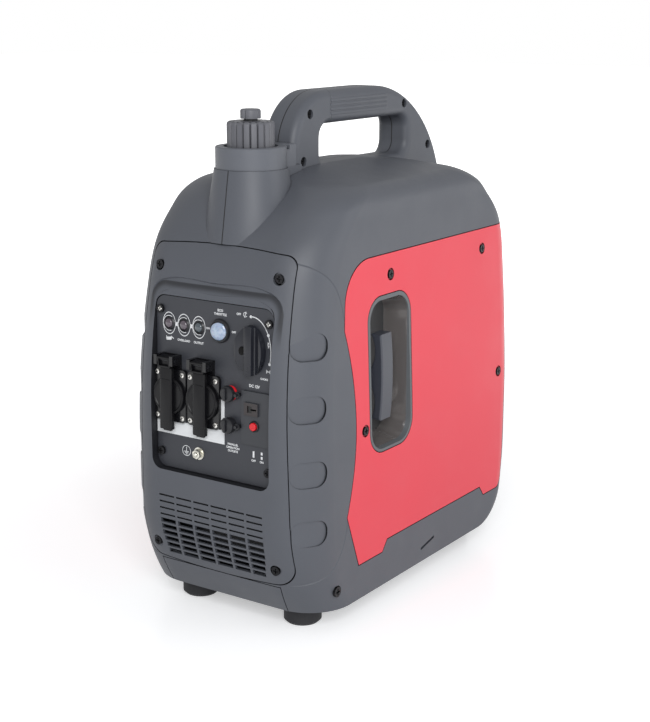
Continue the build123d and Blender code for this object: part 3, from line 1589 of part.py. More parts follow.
# ---- Rubber mounts: under the crankcase, and between the cradle and the tank ----------------
with BuildPart() as tank_grommets:
    for x in (-grommet_x, grommet_x):
        for y in cradle_ys:
            with BuildSketch(Plane.XY.offset(tank_bottom - grommet_height)):
                with Locations((x, y)):
                    Circle(grommet_radius)
            extrude(amount=grommet_height)
base_top = body_bottom + base_thickness
with BuildPart() as mounts:
    with BuildSketch(Plane.XY.offset(base_top)):
        with Locations((0, crankcase_mid_y)):
            with GridLocations(2 * mount_x, crankcase_length - 2 * mount_radius - 4, 2, 2):
                Circle(mount_radius)
    extrude(amount=crankcase_bottom - base_top)
finish(mounts.part + tank_grommets.part, "rubber_mounts")

# ---- Carburettor, air cleaner and fuel hose on the left of the head -------------------------
carb_z = crankcase_top + cylinder_height / 2
fin_side = cylinder_radius + fin_reach
with BuildPart() as carburettor:
    with BuildSketch(facing_side(-fin_side, crankcase_mid_y, carb_z)):
        Rectangle(30, 26)
    extrude(amount=carb_flange)
    with BuildSketch(facing_side(-fin_side - carb_flange, crankcase_mid_y, carb_z)):
        RectangleRounded(36, 34, 6)
    extrude(amount=carb_length)
    with BuildSketch(Plane.XY.offset(carb_z + 17)):
        with Locations((tank_spigot_x, tank_spigot_y)):
            Circle(hose_bore_radius)
    extrude(amount=carb_spigot)
    with BuildSketch(Plane.XY.offset(carb_z - 17)):
        with Locations((-fin_side - carb_flange - carb_length / 2, crankcase_mid_y)):
            Circle(bowl_radius)
    extrude(amount=crankcase_top + 1 - carb_z + 17)
finish(carburettor.part, "carburettor")
with BuildPart() as fuel_hose:
    with BuildSketch(Plane.XY.offset(carb_z + 18)):
        with Locations((tank_spigot_x, tank_spigot_y)):
            Circle(hose_bore_radius + 2)
            Circle(hose_bore_radius, mode=Mode.SUBTRACT)
    extrude(amount=tank_bottom - carb_z - 19)
finish(fuel_hose.part, "fuel_hose")
cleaner_x = -fin_side - carb_flange - carb_length
with BuildPart() as air_cleaner:
    with BuildSketch(facing_side(cleaner_x, crankcase_mid_y, carb_z)):
        RectangleRounded(cleaner_length, cleaner_height, 8)
    extrude(amount=cleaner_width)
    with BuildSketch(facing_side(cleaner_x - 2, crankcase_mid_y, carb_z)):
        RectangleRounded(cleaner_length - 4, cleaner_height - 4, 6)
    extrude(amount=cleaner_width - 4, mode=Mode.SUBTRACT)
finish(air_cleaner.part, "air_cleaner_box")

# ---- Muffler behind the engine, with its pipe and outlet ------------------------------------
pipe_front = crankcase_mid_y + cylinder_radius
outlet_end = -(panel_face_y - (knob_gap + knob_base_height + knob_ridge_height) * cos(panel_turn))
with BuildPart() as muffler:
    with BuildSketch(facing_rear(0, muffler_front, (muffler_bottom + muffler_top) / 2)):
        RectangleRounded(2 * muffler_half_width, muffler_top - muffler_bottom, 26)
    extrude(amount=muffler_length)
    fillet(muffler.faces().filter_by(Axis.Y).edges(), 6)
    with BuildSketch(facing_rear(0, muffler_front + muffler_wall, (muffler_bottom + muffler_top) / 2)):
        height = muffler_top - muffler_bottom - 2 * muffler_wall
        RectangleRounded(2 * (muffler_half_width - muffler_wall), height, 26 - muffler_wall)
    extrude(amount=muffler_length - 2 * muffler_wall, mode=Mode.SUBTRACT)
    with BuildSketch(facing_rear(0, pipe_front, cylinder_top + head_height / 2)):
        Circle(pipe_radius)
    extrude(amount=muffler_front - pipe_front + 2)
    with BuildSketch(facing_rear(0, crankcase_rear, bracket_z)):
        Rectangle(40, 16)
    extrude(amount=muffler_front - crankcase_rear + 2)
finish(muffler.part, "muffler")
with BuildPart() as exhaust_outlet:
    with BuildSketch(facing_rear(outlet_x, muffler_front + muffler_length, outlet_z)):
        Circle(outlet_radius)
        Circle(outlet_radius - outlet_wall, mode=Mode.SUBTRACT)
    extrude(amount=outlet_end - muffler_front - muffler_length)
    with BuildSketch(facing_rear(outlet_x, outlet_end - 6, outlet_z)):
        Circle(outlet_radius - outlet_wall)
        with GridLocations(5, 5, 5, 5):
            Circle(1.6, mode=Mode.SUBTRACT)
    extrude(amount=1)
finish(exhaust_outlet.part, "exhaust_outlet")

# ---- Inverter unit on the base behind the grille --------------------------------------------
with BuildPart() as inverter:
    with BuildSketch(Plane.XY.offset(base_top)):
        with Locations((0, (inverter_front + inverter_rear) / 2)):
            RectangleRounded(2 * inverter_half_width, inverter_rear - inverter_front, 4)
    extrude(amount=inverter_height)
    for fin in range(inverter_fins):
        x = -inverter_half_width + (fin + 0.5) * 2 * inverter_half_width / inverter_fins
        with BuildSketch(Plane.XY.offset(base_top + inverter_height - inverter_fin_depth)):
            with Locations((x, (inverter_front + inverter_rear) / 2)):
                Rectangle(inverter_fin_gap, inverter_rear - inverter_front)
        extrude(amount=inverter_fin_depth, mode=Mode.SUBTRACT)
finish(inverter.part, "inverter_unit")
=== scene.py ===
from math import cos, pi, radians, sin

import bmesh
import bpy
from mathutils import Matrix, Vector


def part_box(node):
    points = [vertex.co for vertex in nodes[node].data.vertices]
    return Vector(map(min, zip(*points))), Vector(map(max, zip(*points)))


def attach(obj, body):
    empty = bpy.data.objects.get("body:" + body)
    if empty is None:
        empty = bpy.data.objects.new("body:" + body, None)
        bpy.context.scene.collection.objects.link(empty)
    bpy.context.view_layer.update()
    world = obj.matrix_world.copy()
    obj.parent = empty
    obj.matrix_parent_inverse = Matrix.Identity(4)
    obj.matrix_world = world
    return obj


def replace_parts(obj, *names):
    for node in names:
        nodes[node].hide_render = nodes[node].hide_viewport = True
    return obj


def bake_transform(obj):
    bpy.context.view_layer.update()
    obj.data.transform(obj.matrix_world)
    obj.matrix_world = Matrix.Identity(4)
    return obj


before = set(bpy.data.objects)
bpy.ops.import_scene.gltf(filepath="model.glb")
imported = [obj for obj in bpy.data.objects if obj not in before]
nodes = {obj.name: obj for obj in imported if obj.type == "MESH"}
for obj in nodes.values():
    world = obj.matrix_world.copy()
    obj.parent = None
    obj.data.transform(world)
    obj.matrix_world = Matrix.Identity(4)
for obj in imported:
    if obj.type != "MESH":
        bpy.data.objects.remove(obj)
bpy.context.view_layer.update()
scene = bpy.context.scene


# ---- Studio ---------------------------------------------------------------------------------
# A white paper floor that keeps a soft shadow, under one large soft lamp off the near corner and
# a weaker one by the red side, with a long lens set a little above the handle.
class Wire:
    """A socket of a material. Arithmetic on it adds Math nodes."""

    def __init__(self, tree, socket):
        self.tree = tree
        self.socket = socket

    def math(self, operation, other=0.0, swapped=False):
        node = self.tree.nodes.new("ShaderNodeMath")
        node.operation = operation
        pair = (other, self) if swapped else (self, other)
        for socket, value in zip(node.inputs, pair):
            plug(self.tree, socket, value)
        return Wire(self.tree, node.outputs[0])

    def __add__(self, other):
        return self.math("ADD", other)

    def __sub__(self, other):
        return self.math("SUBTRACT", other)

    def __rsub__(self, other):
        return self.math("SUBTRACT", other, True)

    def __mul__(self, other):
        return self.math("MULTIPLY", other)

    def __truediv__(self, other):
        return self.math("DIVIDE", other)

    def __gt__(self, other):
        return self.math("GREATER_THAN", other)

    def __lt__(self, other):
        return self.math("LESS_THAN", other)

    def __abs__(self):
        return self.math("ABSOLUTE")


def plug(tree, socket, value):
    if isinstance(value, Wire):
        tree.links.new(value.socket, socket)
    else:
        socket.default_value = value


class Finish:
    """A material around one Principled shader."""

    def __init__(self, name):
        self.material = bpy.data.materials.new(name)
        self.material.use_nodes = True
        self.tree = self.material.node_tree
        self.shader = self.tree.nodes["Principled BSDF"]
        self.output = self.tree.nodes["Material Output"]

    def node(self, kind, settings=None, inputs=None, output=0):
        node = self.tree.nodes.new("ShaderNode" + kind)
        for key, value in (settings or {}).items():
            if key == "stops":
                ramp = node.color_ramp
                while len(ramp.elements) < len(value):
                    ramp.elements.new(0.5)
                for element, (place, level) in zip(ramp.elements, value):
                    element.position = place
                    element.color = (level, level, level, 1)
            else:
                setattr(node, key, value)
        for key, value in (inputs or {}).items():
            plug(self.tree, node.inputs[key], value)
        return Wire(self.tree, node.outputs[output])

    def place(self):
        """Object coordinates, split into x, y and z."""
        where = self.node("TexCoord", output="Object")
        return [self.node("SeparateXYZ", None, {0: where}, output=axis) for axis in range(3)]

    def facing(self, axis):
        """How far the surface faces along x, y or z, given as 0, 1 or 2."""
        normal = self.node("TexCoord", output="Normal")
        return self.node("SeparateXYZ", None, {0: normal}, output=axis)

    def noise(self, scale, detail=2.0, roughness=0.5):
        place = self.node("TexCoord", output="Object")
        inputs = {"Vector": place, "Scale": scale, "Detail": detail, "Roughness": roughness}
        return self.node("TexNoise", None, inputs)

    def step(self, value, low, high):
        """0 below low, 1 above high and an eased slope between."""
        settings = {"interpolation_type": "SMOOTHSTEP"}
        return self.node("MapRange", settings, {"Value": value, "From Min": low, "From Max": high})

    def between(self, factor, first, second):
        first = first if isinstance(first, Wire) else (*first[:3], 1)
        second = second if isinstance(second, Wire) else (*second[:3], 1)
        return self.node("Mix", {"data_type": "RGBA"}, {0: factor, 6: first, 7: second}, output=2)

    def bump(self, height):
        """Normal for a relief whose height is in metres."""
        return self.node("Bump", None, {"Strength": 1.0, "Distance": 1.0, "Height": height})

    def set(self, **values):
        """Sets sockets of the shader, named with _ for each space."""
        for key, value in values.items():
            plug(self.tree, self.shader.inputs[key.replace("_", " ")], value)


def mottled(name, low, high, scales, spread, rough, detail=2.0, metal=0.0):
    """A finish whose colour drifts from low to high, and its roughness upwards by spread."""
    finish = Finish(name)
    finish.set(Base_Color=finish.between(finish.noise(scales[0], detail), low, high))
    finish.set(Roughness=finish.noise(scales[1]) * spread + rough, Metallic=metal)
    return finish


def srgb(*levels):
    """Linear colour for display levels from 0 to 255."""
    shares = [level / 255 for level in levels]
    return tuple(
        share / 12.92 if share < 0.04045 else ((share + 0.055) / 1.055) ** 2.4
        for share in shares
    )


def piece(name, mesh, finish, body, sharp=35):
    """Turns a bmesh into a smooth-shaded object that rides on a body."""
    bmesh.ops.recalc_face_normals(mesh, faces=mesh.faces)
    for face in mesh.faces:
        face.smooth = True
    data = bpy.data.meshes.new(name)
    mesh.to_mesh(data)
    mesh.free()
    data.set_sharp_from_angle(angle=radians(sharp))
    data.materials.append(finish.material)
    thing = bpy.data.objects.new(name, data)
    scene.collection.objects.link(thing)
    if body:
        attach(thing, body)
    return thing


camera_azimuth = radians(34.27)
camera_elevation = radians(13.93)
camera = bpy.data.objects.new("camera", bpy.data.cameras.new("camera"))
camera.data.lens = 72.72
camera.data.sensor_width = 36
camera.location = (0.888, -1.317, 0.632)
camera.rotation_euler = (pi / 2 - camera_elevation, 0, camera_azimuth)
scene.collection.objects.link(camera)
scene.camera = camera
scene.view_settings.view_transform = "Standard"

floor_half_width = 12
ground = bmesh.new()
bmesh.ops.create_grid(ground, x_segments=1, y_segments=1, size=floor_half_width)
paper = mottled("white_paper", (0.86, 0.87, 0.89), (0.88, 0.89, 0.91), (3, 3), 0.1, 0.22)
paper.set(Specular_IOR_Level=0.3)
east, north, _ = paper.place()
near_edge, far_edge = 0.25, 1.6
near_glow, far_gain = 0.42, 0.7
far = paper.step((east * east + north * north).math("SQRT"), near_edge, far_edge)
straight = paper.node("LightPath", output="Is Camera Ray")
seen = straight.math("MAXIMUM", paper.node("LightPath", output="Is Glossy Ray"))
strength = seen * (far * far_gain + near_glow)
glow = paper.node("Emission", None, {"Color": (1, 1, 1, 1), "Strength": strength})
lit = Wire(paper.tree, paper.shader.outputs[0])
plug(paper.tree, paper.output.inputs[0], paper.node("AddShader", None, {0: lit, 1: glow}))
floor = piece("floor", ground, paper, None)

world = bpy.data.worlds.new("world")
world.use_nodes = True
scene.world = world
sky = world.node_tree
backdrop = sky.nodes["Background"]
backdrop.inputs["Color"].default_value = (1.0, 1.0, 1.0, 1)
path = sky.nodes.new("ShaderNodeLightPath")
through = Wire(sky, path.outputs["Is Transmission Ray"])
plain = Wire(sky, path.outputs["Is Camera Ray"]).math("MAXIMUM", through)
mirrored = Wire(sky, path.outputs["Is Glossy Ray"])
ambient, seen_gain, mirrored_gain = 0.4, 0.6, 0.3
plug(sky, backdrop.inputs["Strength"], plain * seen_gain + mirrored * mirrored_gain + ambient)


def lamp(name, place, target, size, watts):
    light = bpy.data.lights.new(name, "AREA")
    light.shape = "RECTANGLE"
    light.size, light.size_y = size
    light.energy = watts
    thing = bpy.data.objects.new(name, light)
    thing.location = place
    thing.rotation_euler = (Vector(target) - Vector(place)).to_track_quat("-Z", "Y").to_euler()
    scene.collection.objects.link(thing)


lamp("front_lamp", (1.35, -1.75, 1.35), (0, 0, 0.28), (1.1, 1.1), 38)
lamp("side_lamp", (2.3, 0.9, 0.9), (0, 0, 0.25), (1.2, 1.2), 12)


# ---- Housings -------------------------------------------------------------------------------
# Two dark grey halves moulded in nylon, with a fine spark-eroded grain, screwed together on the
# centre plane. A low step runs round each front corner, from cover to cover.
def moulding(
    name, colour, rough, grain=2400.0, depth=0.00003, drift=0.07, relief=None, shine=0.4,
    crevice_shade=False,
):
    """Moulded plastic: fine grain, slow drift of tone, a few rubbed places and painted shade in
    crevices.
    """
    finish = Finish(name)
    low = tuple(level * (1 - drift) for level in colour)
    high = tuple(level * (1 + drift) for level in colour)
    tone = finish.between(finish.noise(9, 3), low, high)
    if crevice_shade:
        # Painted shade: ambient occlusion darkens joints, gaps and recesses nearly to black.
        opening = finish.node("AmbientOcclusion", {"samples": 6}, {"Distance": 0.005}, output=1)
        tone = finish.between(finish.step(opening, 0.3, 0.68), (0.002, 0.002, 0.002), tone)
    finish.set(Base_Color=tone)
    stops = {"stops": [(0.45, 0), (0.7, 1)]}
    rubbed = finish.node("ValToRGB", stops, {"Fac": finish.noise(14, 6, 0.65)})
    finish.set(Roughness=rubbed * -0.08 + rough)
    height = finish.noise(grain, 3, 0.6) * depth
    if relief:
        height = height + relief(finish)
    finish.set(Normal=finish.bump(height), Specular_IOR_Level=shine)
    return finish


def dress(finish, *names):
    for name in names:
        data = nodes[name].data
        data.materials.clear()
        data.materials.append(finish.material)


def tinted(finish, mask, colour):
    """Lays a colour over the finish where mask is 1."""
    base = Wire(finish.tree, finish.shader.inputs["Base Color"].links[0].from_socket)
    finish.set(Base_Color=finish.between(mask, base, colour))


def line(finish, distance, half_width):
    """1 along a thin line, where distance is 0."""
    return 1 - finish.step(abs(distance), half_width * 0.4, half_width)


def corner_step(finish):
    """Parting groove on the centre plane, a groove round the grip, and the front corners' step.

    The step is straight between low and high, and turns back round an oval above and below.
    """
    x, y, z = finish.place()
    front, back_reach = 0.216, 0.069
    high, high_reach = 0.3137, 0.077
    low, low_reach = 0.120, 0.062
    step_height, centre_depth, grip_depth = 0.0011, 0.0006, 0.0008
    ahead = (y + front).math("MAXIMUM", 0.0) / back_reach
    above = (z - high).math("MAXIMUM", 0.0) / high_reach
    below = (low - z).math("MAXIMUM", 0.0) / low_reach
    reach = (ahead * ahead + above * above + below * below).math("SQRT")
    ends = (above + below) > 0.0005
    grip_front, grip_bottom = 0.033, 0.5
    grip_groove = line(finish, y + grip_front, 0.0011) * (z > grip_bottom)
    step = finish.step(reach, 0.985, 1.012) * ends * (y < 0) * step_height
    return step - line(finish, x, 0.0007) * centre_depth - grip_groove * grip_depth


grey_tone = srgb(82, 85, 92)
housing_grey = moulding("housing_grey", grey_tone, 0.5, relief=corner_step, crevice_shade=True)
across, _, _ = housing_grey.place()
tinted(housing_grey, line(housing_grey, across, 0.0008), srgb(14, 14, 16))
dress(housing_grey, "right_housing", "left_housing")
grey = moulding("cover_grey", grey_tone, 0.5, crevice_shade=True)
dress(grey, "rear_cover", "base_pan")

# ---- Front cover ----------------------------------------------------------------------------
# Moulded in the housings' grey. Its walls are dark down in the panel's opening, and painted shade
# darkens the hollow that runs over the opening and down both sides of it.
front_grey = moulding("front_cover_grey", grey_tone, 0.5, crevice_shade=True)
across, _, height = front_grey.place()
facing = front_grey.facing(1)
mouth_half_width, mouth_bottom, mouth_top = 0.0752, 0.1598, 0.3422
mouth = (abs(across) < mouth_half_width) * (height > mouth_bottom) * (height < mouth_top)
tinted(front_grey, mouth * front_grey.step(facing, -0.8, -0.6), srgb(30, 31, 35))
hollow_half_width, hollow_height, hollow_round = 0.0625, 0.335, 0.018
beside = (abs(across) - hollow_half_width).math("MAXIMUM", 0.0)
over = (height - hollow_height).math("MAXIMUM", 0.0)
rise = (beside * beside + over * over).math("SQRT") - hollow_round
# Painted shade: a dark band along the hollow, sharp at its upper edge and fading downwards.
hollow_shade = front_grey.step(rise, -0.0055, 0.001) * (1 - front_grey.step(rise, 0.0022, 0.0036))
tinted(front_grey, hollow_shade * front_grey.step(height, 0.3, 0.33) * 0.8, srgb(22, 23, 27))
dress(front_grey, "front_cover")

# ---- Handle grip ----------------------------------------------------------------------------
# The carrying handle's bar is fluted along both flanks, moulded in one with the housings.
def moved(mesh, matrix):
    bmesh.ops.transform(mesh, matrix=matrix, verts=mesh.verts)
    return mesh


def shift(x, y, z):
    return Matrix.Translation((x, y, z))


def turned(angle, axis):
    """A turn of so many degrees about an axis."""
    return Matrix.Rotation(radians(angle), 4, axis)


def span(edge, axis):
    """How far an edge of a bmesh runs along x, y or z, given as 0, 1 or 2."""
    first, second = edge.verts
    return abs(first.co[axis] - second.co[axis])


def joined(parts):
    """One bmesh holding all the given ones."""
    whole = bmesh.new()
    for part in parts:
        data = bpy.data.meshes.new("part")
        part.to_mesh(data)
        part.free()
        whole.from_mesh(data)
        bpy.data.meshes.remove(data)
    return whole


def soften(mesh, edges, offset, segments, clamp=False):
    """Rounds edges of a bmesh. The offset is in metres."""
    bmesh.ops.bevel(
        mesh, geom=edges, offset=offset, affect="EDGES", segments=segments, profile=0.5,
        material=-1, clamp_overlap=clamp,
    )


def tablet(width, height, thickness, corner, edge, steps=6):
    """A plate with round corners and a softened front edge, its back on z = 0. Sizes in mm."""
    mesh = bmesh.new()
    bmesh.ops.create_cube(mesh, size=0.001)
    bmesh.ops.scale(mesh, vec=(width, height, thickness), verts=mesh.verts)
    middle = thickness / 2000
    bmesh.ops.translate(mesh, vec=(0, 0, middle), verts=mesh.verts)
    upright = [side for side in mesh.edges if span(side, 2) > middle]
    soften(mesh, upright, corner / 1000, steps)
    almost_top = thickness / 1001
    top = [side for side in mesh.edges if all(point.co.z > almost_top for point in side.verts)]
    soften(mesh, top, edge / 1000, 3)
    return mesh


flute_rows, flute_pitch = 4, 0.0046
flutes = []
for side in (-1, 1):
    flank = shift(side * 0.0209, 0.022, 0.5225) @ turned(90, (0, side, 0))
    for row in range(flute_rows):
        place = flank @ shift((row - (flute_rows - 1) / 2) * flute_pitch, 0, 0)
        flutes.append(moved(tablet(3.4, 112, 0.6, 1.6, 0.55, 4), place))
piece("handle_flutes", joined(flutes), grey, "generator")

# ---- Side covers ----------------------------------------------------------------------------
# Coral red covers, moulded with a smoother satin face and let into the housings' sides.
red = moulding(
    "red_moulding", srgb(226, 60, 76), 0.4, grain=3000, depth=0.00001, drift=0.03, crevice_shade=True
)
dress(red, "right_side_cover", "left_side_cover")

# ---- Screws ---------------------------------------------------------------------------------
# Black cross-head screws down in their recesses: covers, panel, handle, base and feet.
black_steel = mottled(
    "black_screws", srgb(22, 22, 24), srgb(42, 42, 45), (900, 400), 0.2, 0.25, metal=0.8
)
dress(black_steel, "cover_screws", "housing_screws", "foot_screws")

# ---- Control panel --------------------------------------------------------------------------
# A flat black-grey plate with a fine orange-peel grain, screwed in deep behind the front rim.
plate = moulding("panel_plate", srgb(52, 54, 60), 0.5, grain=1600, depth=0.00004, drift=0.05)
dress(plate, "control_panel")
panel_middle, panel_lean = 251, 1.6
panel = shift(0, -0.2115, panel_middle / 1000) @ turned(90 - panel_lean, "X")


def on_panel(mesh, x, z, out=0.0, turn=0.0):
    """Puts a bmesh on the panel's face, x across it and z above the floor, in mm."""
    place = shift(x / 1000, (z - panel_middle) / 1000, out / 1000)
    return moved(mesh, panel @ place @ turned(turn, "Z"))


# ---- Panel print ----------------------------------------------------------------------------
# Pad-printed in white ink: rings and links round the lamps, the arc of the engine switch, the
# earth sign, the fuel, oil and breaker signs and the plain words.
def revolve(mesh, parts, angle, steps, merge):
    """Spins vertices and edges of a bmesh round Z."""
    bmesh.ops.spin(
        mesh, geom=parts, cent=(0, 0, 0), axis=(0, 0, 1), angle=angle, steps=steps,
        use_merge=merge,
    )


def lathe(profile, steps=48):
    """Spins a profile of (radius, height) points in mm round Z."""
    mesh = bmesh.new()
    points = [mesh.verts.new((radius / 1000, 0, height / 1000)) for radius, height in profile]
    sides = [mesh.edges.new(pair) for pair in zip(points, points[1:])]
    revolve(mesh, points + sides, 2 * pi, steps, True)
    bmesh.ops.remove_doubles(mesh, verts=mesh.verts, dist=1e-6)
    return mesh


def band(inner, outer, start, sweep, steps):
    """A flat arc, from start degrees through sweep degrees, anticlockwise from +X. Radii in mm."""
    mesh = bmesh.new()
    ends = [mesh.verts.new((radius / 1000, 0, 0)) for radius in (inner, outer)]
    side = mesh.edges.new(ends)
    revolve(mesh, ends + [side], radians(sweep), steps, sweep == 360)
    return moved(mesh, turned(start, "Z"))


def patch(width, height):
    """A flat rectangle. Sizes in mm."""
    mesh = bmesh.new()
    bmesh.ops.create_grid(mesh, x_segments=1, y_segments=1, size=0.0005)
    bmesh.ops.scale(mesh, vec=(width, height, 1), verts=mesh.verts)
    return mesh


def letters(words, size):
    """Flat words, a little bolder than the plain font. The size is in mm."""
    curve = bpy.data.curves.new("letters", "FONT")
    curve.body = words
    curve.size = size / 1000
    curve.offset = size / 26000
    curve.align_x = "CENTER"
    curve.align_y = "CENTER"
    curve.resolution_u = 3
    holder = bpy.data.objects.new("letters", curve)
    data = bpy.data.meshes.new_from_object(holder)
    mesh = bmesh.new()
    mesh.from_mesh(data)
    bpy.data.objects.remove(holder)
    bpy.data.meshes.remove(data)
    return mesh


lamp_xs = (-57.8, -38.5, -19.2)
lamp_z = 313.0
knob_x, knob_z = 47.8, 298.6
eco_x = 8.0
ink_out = 0.06
prints = []
tall = Matrix.Diagonal((0.9, 1.24, 1, 1))
bridge_width, bridge_height = 3.6, 6.4
bridge_reach, bridge_waist, bridge_flare = 0.0018, 0.55, 0.45
for x in lamp_xs:
    prints.append(on_panel(moved(band(8.6, 9.3, 0, 360, 64), tall), x, lamp_z, ink_out))
    prints.append(on_panel(band(7.3, 8.0, 60, 230, 48), x, lamp_z, ink_out))
for x in (-48.15, -28.85):
    bridge = patch(bridge_width, bridge_height)
    level = [side for side in bridge.edges if span(side, 0) > 0.001]
    bmesh.ops.subdivide_edges(bridge, edges=level, cuts=4)
    for point in bridge.verts:
        point.co.y *= bridge_waist + bridge_flare * (abs(point.co.x) / bridge_reach) ** 2
    prints.append(on_panel(bridge, x, lamp_z, ink_out))
arc_width, arc_height = 22.8, 33.8
arc_inner, arc_middle = 0.968, 0.984
run_turn, choke_turn, off_turn = 31, -20, 95
arc = band(arc_inner, 1.0, choke_turn, off_turn - choke_turn, 64)
moved(arc, Matrix.Diagonal((arc_width, arc_height, 1, 1)))
prints.append(on_panel(arc, knob_x, knob_z, ink_out))
for turn in (off_turn, run_turn, choke_turn):
    x = knob_x + arc_middle * arc_width * cos(radians(turn))
    z = knob_z + arc_middle * arc_height * sin(radians(turn))
    prints.append(on_panel(band(0, 1.5, 0, 360, 20), x, z, ink_out))
earth_x, earth_z = -36.0, 182.0
prints.append(on_panel(band(5.0, 5.6, 0, 360, 40), earth_x, earth_z, ink_out))
prints.append(on_panel(patch(0.7, 5.2), earth_x, earth_z + 1.6, ink_out))
for width, drop in ((6.0, -1.0), (4.0, -2.4), (1.8, -3.8)):
    prints.append(on_panel(patch(width, 0.7), earth_x, earth_z + drop, ink_out))
breaker_off_x, breaker_on_x, breaker_z = 50.0, 60.0, 193.0
prints.append(on_panel(patch(2.2, 6.6), breaker_off_x, breaker_z, ink_out))
for drop in (2.2, -2.2):
    prints.append(on_panel(patch(2.2, 2.9), breaker_on_x, breaker_z + drop, ink_out))
oil_x, words_z = lamp_xs[0], 297.0
prints.append(on_panel(tablet(7.2, 3.2, 0.05, 1.0, 0.02, 3), oil_x - 0.6, words_z, 0, 8))
prints.append(on_panel(patch(4.4, 0.9), oil_x + 4.0, 298.4, ink_out, -28))
prints.append(on_panel(patch(0.9, 2.6), oil_x - 3.4, 298.2, ink_out, 20))
for words, size, x, z in (
    ("OVERLOAD", 3.1, lamp_xs[1] - 0.4, words_z),
    ("OUTPUT", 3.2, lamp_xs[2] - 0.4, words_z),
    ("ECO", 3.4, eco_x, 333.4),
    ("THROTTLE", 3.2, eco_x, 329.6),
    ("ON", 2.9, eco_x - 15.6, 313.6),
    ("OFF", 2.9, eco_x + 17.0, 313.6),
    ("OFF", 3.1, 31.0, 332.6),
    ("CHOKE", 2.7, 62.4, 271.4),
    ("DC 12V", 3.9, 50.5, 262.5),
    ("OFF", 3.0, breaker_off_x, 186.4),
    ("ON", 3.0, breaker_on_x, 186.4),
    ("PARALLEL", 3.0, 24.0, 198.6),
    ("OPERATION", 3.0, 24.0, 195.2),
    ("OUTLETS", 3.0, 24.0, 191.8),
):
    prints.append(on_panel(letters(words, size), x, z, ink_out))
prints.append(on_panel(letters("RUN", 2.6), 67.2, 306.0, ink_out, -84))
bars = [moved(patch(0.8, 3.4), shift(x, 0, 0)) for x in (0.0019, -0.0019)]
valve = joined([patch(4.6, 0.8)] + bars)
prints.append(on_panel(valve, 67.4, 279.6, ink_out))
fuel_tap = joined([band(1.9, 2.5, 30, 300, 24), moved(patch(0.7, 6.4), turned(-18, "Z"))])
prints.append(on_panel(fuel_tap, 39.0, 333.0, ink_out))
ink = mottled("white_ink", srgb(214, 216, 219), srgb(236, 238, 240), (2500, 900), 0.2, 0.45)
piece("panel_print", joined(prints), ink, "generator")

# ---- Indicator lamps ------------------------------------------------------------------------
# Three smoked domes in black chamfered collars, pushed through the panel from the front.
gloss = moulding("gloss_black", srgb(18, 18, 21), 0.2, grain=500, depth=0.000004, drift=0.05)
satin = moulding(
    "satin_black", srgb(30, 31, 35), 0.38, grain=2000, depth=0.00001, drift=0.08, shine=0.35
)
lamp_collar = [(0, 0.3), (5.0, 0.3), (5.2, 1.2), (5.6, 1.5), (6.6, 0.9), (7.3, 0)]
collars = [on_panel(lathe(lamp_collar), x, lamp_z) for x in lamp_xs]
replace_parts(piece("lamp_collars", joined(collars), satin, "generator"), "indicator_bezels")


def quarter(radius, rise, start, first=0):
    """Points of a dome's profile at 15 degree steps, from start mm up. Sizes in mm."""
    turns = [radians(step * 15) for step in range(first, 6)]
    return [(radius * cos(turn), start + rise * sin(turn)) for turn in turns]


def smoked(name, tint):
    pale = tuple(1.6 * level for level in tint)
    finish = mottled(name, tint, pale, (500, 300), 0.1, 0.12, detail=3)
    finish.set(Coat_Weight=0.5)
    return finish


dome = quarter(4.9, 2.6, 0.5) + [(0, 3.1)]
smoked_red = smoked("smoked_red", srgb(74, 66, 74))
warning_domes = joined([on_panel(lathe(dome), x, lamp_z) for x in lamp_xs[:2]])
warning_domes = piece("warning_domes", warning_domes, smoked_red, "generator")
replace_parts(warning_domes, "warning_lenses")
smoked_green = smoked("smoked_green", srgb(62, 70, 76))
output_dome = on_panel(lathe(dome), lamp_xs[2], lamp_z)
output_dome = piece("output_dome", output_dome, smoked_green, "generator")
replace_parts(output_dome, "output_lens")

# ---- Economy switch -------------------------------------------------------------------------
# A pale translucent rocker dome in a raised black collar, pressed in on the side of OFF.
eco_collar = [(9.4, 0.2), (9.4, 2.8), (9.9, 3.2), (11.0, 3.1), (11.7, 2.2), (12.4, 0)]
piece("eco_collar", on_panel(lathe(eco_collar), eco_x, lamp_z), satin, "generator")
ice = Finish("milky_blue")
cloud = ice.step(ice.noise(260, 4, 0.6), 0.35, 0.68)
ice.set(Base_Color=ice.between(cloud, srgb(142, 160, 188), srgb(176, 190, 208)))
ice.set(Roughness=ice.noise(400) * 0.2 + 0.2)
ice.set(Subsurface_Weight=0.15, Subsurface_Scale=0.002, Coat_Weight=0.6)
underside = [(0, 2.2), (6.0, 2.2), (8.8, 3.0), (8.9, 4.0)]
crown = [(radius + 0.6, height) for radius, height in quarter(8.4, 2.6, 4.0, 1)]
button_tilt = 8
eco_button = lathe(underside + crown + [(0, 6.6)])
eco_button = on_panel(moved(eco_button, turned(button_tilt, "Y")), eco_x, lamp_z)
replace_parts(piece("eco_button", eco_button, ice, "eco_switch"), "eco_switch_rocker")
dress(satin, "eco_switch_body", "engine_switch_body")

# ---- Engine switch knob ---------------------------------------------------------------------
# A satin black knob scooped out on both sides of an upright fin, with a dot that marks its place.
def only(parts, kind):
    """The parts of one kind in a mixed list of vertices, edges and faces."""
    return [part for part in parts if isinstance(part, kind)]


